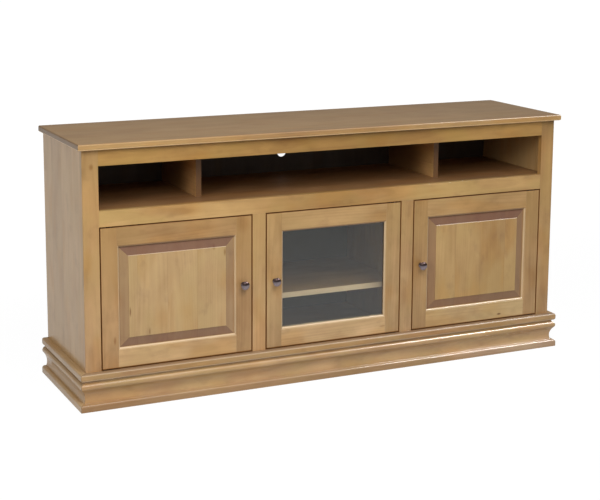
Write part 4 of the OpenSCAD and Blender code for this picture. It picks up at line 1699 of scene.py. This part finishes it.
@dataclass
class PanelDoor(Door):
    """A door with a raised panel, whose bevels meet in mitres."""

    bevel: float = 31.5 * MM
    field_set: float = 1.0 * MM
    step: float = 2.0 * MM
    cove: float = 1.5 * MM
    tongue: float = 8.0 * MM
    tongue_front: float = 7.75 * MM
    shoulder: float = 1.0 * MM
    panel_ease: float = 0.3 * MM
    panel_wood: Wood = PANEL_WOOD
    steps: int = 16
    cove_turn: float = math.radians(100)
    crisp: float = math.radians(8)

    def infill(self) -> None:
        """Grow the raised panel ring by ring, from its tongue to its field."""
        node = self.name + "_panel"
        low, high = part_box(node)
        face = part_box(self.name + "_hinge_stile")[0].y
        half = (high - low) / 2
        wood = self.panel_wood.material(node, Grain.UPRIGHT, True, self.dyes.get("panel", StainAndPaintedLight()))
        g = GeometryGraph(
            node + "_rings",
            **{
                "Centre": ((low.x + high.x) / 2, face, (low.z + high.z) / 2),
                "Half Width": half.x,
                "Half Height": half.z,
                "Bevel": self.bevel + self.tongue,
                "Field Depth": self.field_set,
                "Step": self.step,
                "Cove Radius": self.cove,
                "Shoulder": self.tongue + self.shoulder,
                "Tongue Front": self.tongue_front,
                "Tongue Back": high.y - face,
                "Steps": self.steps,
            },
            Material=wood,
        )
        piece = g.grow(node + "_raised", self.rings(g))
        outward(piece)
        finished(eased(piece, self.panel_ease), node, wood)

    def rings(self, g: GeometryGraph) -> Wire:
        """Return the panel as rings of four corners: each ring has an inset and a depth.

        Args:
            g: the tree.

        Returns:
            The panel's mesh.
        """
        steps, bevel, cove = g.size("Steps"), g.size("Bevel"), g.size("Cove Radius")
        top, floor = g.size("Field Depth"), g.size("Field Depth") + g.size("Step")
        width, height = g.size("Half Width"), g.size("Half Height")
        inner = width.apply("MINIMUM", height)
        front, back = g.size("Tongue Front"), g.size("Tongue Back")
        rings = [(inner, back), (0.0, back), (0.0, front), (g.size("Shoulder"), front)]
        last = steps + len(rings)
        mesh, column, row = g.grid(5, last + 3)
        angle = (1.0 - (row - len(rings)) / steps) * self.cove_turn
        inset = bevel - cove + angle.apply("COSINE") * cove
        depth = floor - cove + angle.apply("SINE") * cove
        for k, (ring_inset, ring_depth) in enumerate(rings):
            chosen = row.apply("COMPARE", float(k), 0.5)
            inset = inset + (ring_inset - inset) * chosen
            depth = depth + (ring_depth - depth) * chosen
        for after, ring_inset in ((last, bevel), (last + 1.0, inner)):
            chosen = row.apply("GREATER_THAN", after + 0.5)
            inset = inset + (ring_inset - inset) * chosen
            depth = depth + (top - depth) * chosen
        # Columns 1 and 2 are the corners on the right, columns 2 and 3 the ones at the top, and
        # column 4 closes the ring on column 0.
        right, upper = (column.apply("COMPARE", middle, 0.75) * 2.0 - 1.0 for middle in (1.5, 2.5))
        x, y, z = g.size("Centre").parts()
        place = g.vector(x + right * (width - inset), y + depth, z + upper * (height - inset))
        return g.smooth(g.merged(g.moved(mesh, place)), self.crisp)


@dataclass
class GlassDoor(Door):
    """A door with a pane held in its rabbet by four strips."""

    strip: float = 10 * MM
    strip_ease: float = 0.6 * MM
    pane_ease: float = 0.3 * MM
    brad_radius: float = 0.9 * MM
    brad_inset: float = 30 * MM
    brads: int = 4

    def infill(self) -> None:
        """Ease the pane's edges and dress the strips."""
        pane, stops = self.name + "_glass", self.name + "_glass_stops"
        dressed(pane, self.pane_ease, GLASS.material())
        dressed(stops, self.strip_ease, DOOR_WOOD.material(stops, Grain.LEVEL))
        low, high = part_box(stops)
        mid, inset, gaps = self.strip / 2, self.brad_inset, self.brads - 1
        wide, tall = ((high[axis] - low[axis] - 2 * inset) / gaps for axis in (0, 2))
        left, right, bottom, top = low.x + mid, high.x - mid, low.z + mid, high.z - mid
        rows = [Row((low.x + inset, high.y, z), (wide, 0.0, 0.0), self.brads) for z in (bottom, top)]
        rows += [Row((x, high.y, low.z + inset), (0.0, 0.0, tall), self.brads) for x in (left, right)]
        Fasteners(stops, "brads", rows, Facing.BACK, self.brad_radius).build()


class Inside:
    """Shelves, their pins, the hinge plates, the catches and the screws under the top."""

    def build(self) -> None:
        """Build what the cupboards hold."""
        for side in ("left", "centre", "right"):
            Board(side + "_shelf", SHELF_WOOD, Grain.FLAT, True, 0.8 * MM).build()
        for node, ease, finish in (
            ("shelf_pins", METAL_EASE, STEEL),
            ("hinge_plates", METAL_EASE, DARK_STEEL),
            ("top_screws", METAL_EASE, STEEL),
            ("magnetic_catches", 0.8 * MM, WHITE_PLASTIC),
        ):
            dressed(node, ease, finish.material())


@dataclass(frozen=True)
class Lamp:
    """A soft area lamp: where it hangs, the spot that it points at, its size and its power.

    A lamp of which only the shine counts shows in glossy surfaces and lights nothing else.
    """

    name: str
    place: tuple[float, float, float]
    aim: tuple[float, float, float]
    size: tuple[float, float]
    watts: float
    shine_only: bool = False

    def hang(self) -> None:
        """Add the lamp to the scene."""
        data = bpy.data.lights.new(self.name, "AREA")
        data.shape = "RECTANGLE"
        data.size, data.size_y = self.size
        data.energy = self.watts
        made = bpy.data.objects.new(self.name, data)
        made.location = self.place
        made.visible_diffuse = not self.shine_only
        made.rotation_euler = (Vector(self.aim) - Vector(self.place)).to_track_quat("-Z", "Y").to_euler()
        bpy.context.scene.collection.objects.link(made)


LAMPS = (
    Lamp("key", (-0.5, -3.5, 3.2), (-0.1, 0.0, 0.45), (2.6, 2.0), 78.0),
    Lamp("high", (-0.4, -1.75, 2.9), (-0.1, -0.1, 0.5), (2.6, 0.9), 34.0),
    Lamp("side", (-3.4, -2.4, 2.0), (-0.6, 0.0, 0.45), (1.2, 1.2), 38.0),
    Lamp("glint", (2.25, -1.4, 2.6), (0.6, -0.1, 0.1), (1.4, 0.5), 175.0, shine_only=True),
)


@dataclass
class Studio:
    """Camera, lamps, floor and sky of a plain white studio."""

    camera_place: tuple[float, float, float] = (-2.1914, -4.5734, 1.5894)
    yaw: float = 25.243
    pitch: float = -10.005
    roll: float = 0.348
    lens: float = 86.71
    shift_y: float = -0.1317
    sky: float = 0.3
    floor_half: float = 30.0
    floor_drop: float = 0.2 * MM
    floor_grey: float = 0.45
    floor_glow: float = 0.88
    front_glow: Span = Span(-2.8, -0.8, 0.55)
    least_glow: float = 0.5
    back_white: Span = Span(0.5, 4.0, 0.06)
    white: float = 1.1

    def camera(self) -> None:
        """Place the camera where the photograph was taken from."""
        yaw, pitch, roll = (math.radians(a) for a in (self.yaw, self.pitch, self.roll))
        ahead = Vector((math.sin(yaw) * math.cos(pitch), math.cos(yaw) * math.cos(pitch), math.sin(pitch)))
        right = Vector((math.cos(yaw), -math.sin(yaw), 0.0))
        up = right.cross(ahead)
        right, up = (
            right * math.cos(roll) + up * math.sin(roll),
            up * math.cos(roll) - right * math.sin(roll),
        )
        data = bpy.data.cameras.new("camera")
        data.lens = self.lens
        data.shift_y = self.shift_y
        data.clip_end = 100.0
        made = bpy.data.objects.new("camera", data)
        turn = Matrix((right, up, -ahead)).transposed().to_4x4()
        made.matrix_world = Matrix.Translation(self.camera_place) @ turn
        bpy.context.scene.collection.objects.link(made)
        bpy.context.scene.camera = made

    def seen(self, g: Graph, gloss: bool) -> Wire:
        """Return 1 on rays to the camera and through glass, and for gloss also on reflected ones.

        Args:
            g: the graph of a material or a world.
            gloss: whether reflected rays count too.

        Returns:
            A wire of 0 or 1.
        """
        path = g.node("ShaderNodeLightPath")
        names = ["Is Camera Ray", "Is Transmission Ray"] + ["Is Glossy Ray"] * gloss
        return highest(g.out(path, name) for name in names)

    def world(self) -> None:
        """Light the scene evenly, and show pure white wherever the sky is seen."""
        sky = bpy.data.worlds.new("sky")
        bpy.context.scene.world = sky
        sky.use_nodes = True
        g = Graph(sky.node_tree)
        strength = self.seen(g, gloss=False) * (1.0 - self.sky) + self.sky
        light = g.call("ShaderNodeBackground", "Background", {"Color": WHITE, "Strength": strength})
        g.node("ShaderNodeOutputWorld", inputs={"Surface": light})

    def floor(self) -> None:
        """Lay a large pale floor that reads white and keeps a soft shadow."""
        shape = bmesh.new()
        bmesh.ops.create_grid(shape, x_segments=1, y_segments=1, size=self.floor_half)
        mesh = bpy.data.meshes.new("floor")
        shape.to_mesh(mesh)
        shape.free()
        made = show("floor", mesh)
        made.location.z = -self.floor_drop
        g = MaterialGraph("floor")
        g.surface(base_color=(self.floor_grey,) * 3, roughness=0.9, specular_ior_level=0.0)
        away = g.place().parts()[1]
        near = self.front_glow.of(away) + self.least_glow
        strength = near.apply("MAXIMUM", self.seen(g, gloss=False) * (self.back_white.of(away) + self.white))
        glow = g.call("ShaderNodeEmission", "Emission", {"Color": WHITE, "Strength": strength})
        share = self.seen(g, gloss=True) * self.floor_glow
        inputs = {"Fac": share, "Shader": g.out(g.shader, "BSDF"), "Shader_001": glow}
        mix = g.call("ShaderNodeMixShader", "Shader", inputs)
        g.tree.links.new(mix.socket, g.output.inputs["Surface"])
        mesh.materials.append(g.material)

    def build(self) -> None:
        """Set up everything that isn't the object."""
        self.camera()
        self.world()
        self.floor()
        for lamp in LAMPS:
            lamp.hang()
        bpy.context.scene.view_settings.view_transform = "Standard"


def main() -> None:
    """Build the studio and the cabinet."""
    logging.basicConfig(level=logging.INFO, format="%(name)s: %(message)s")
    Studio().build()
    Case().build()
    FaceFrame(FRAME_STAINS_AND_PAINTED_LIGHT).build()
    Base(BASE_STAINS_AND_PAINTED_LIGHT).build()
    PanelDoor("left_door", LEFT_DOOR_STAINS_AND_PAINTED_LIGHT).build()
    GlassDoor("centre_door", CENTRE_DOOR_STAINS_AND_PAINTED_LIGHT).build()
    # The right panel's side bevels get more painted shade.
    PanelDoor("right_door", RIGHT_DOOR_STAINS_AND_PAINTED_LIGHT, panel_wood=replace(PANEL_WOOD, glaze=0.52)).build()
    Inside().build()


if __name__ == "__main__":
    main()
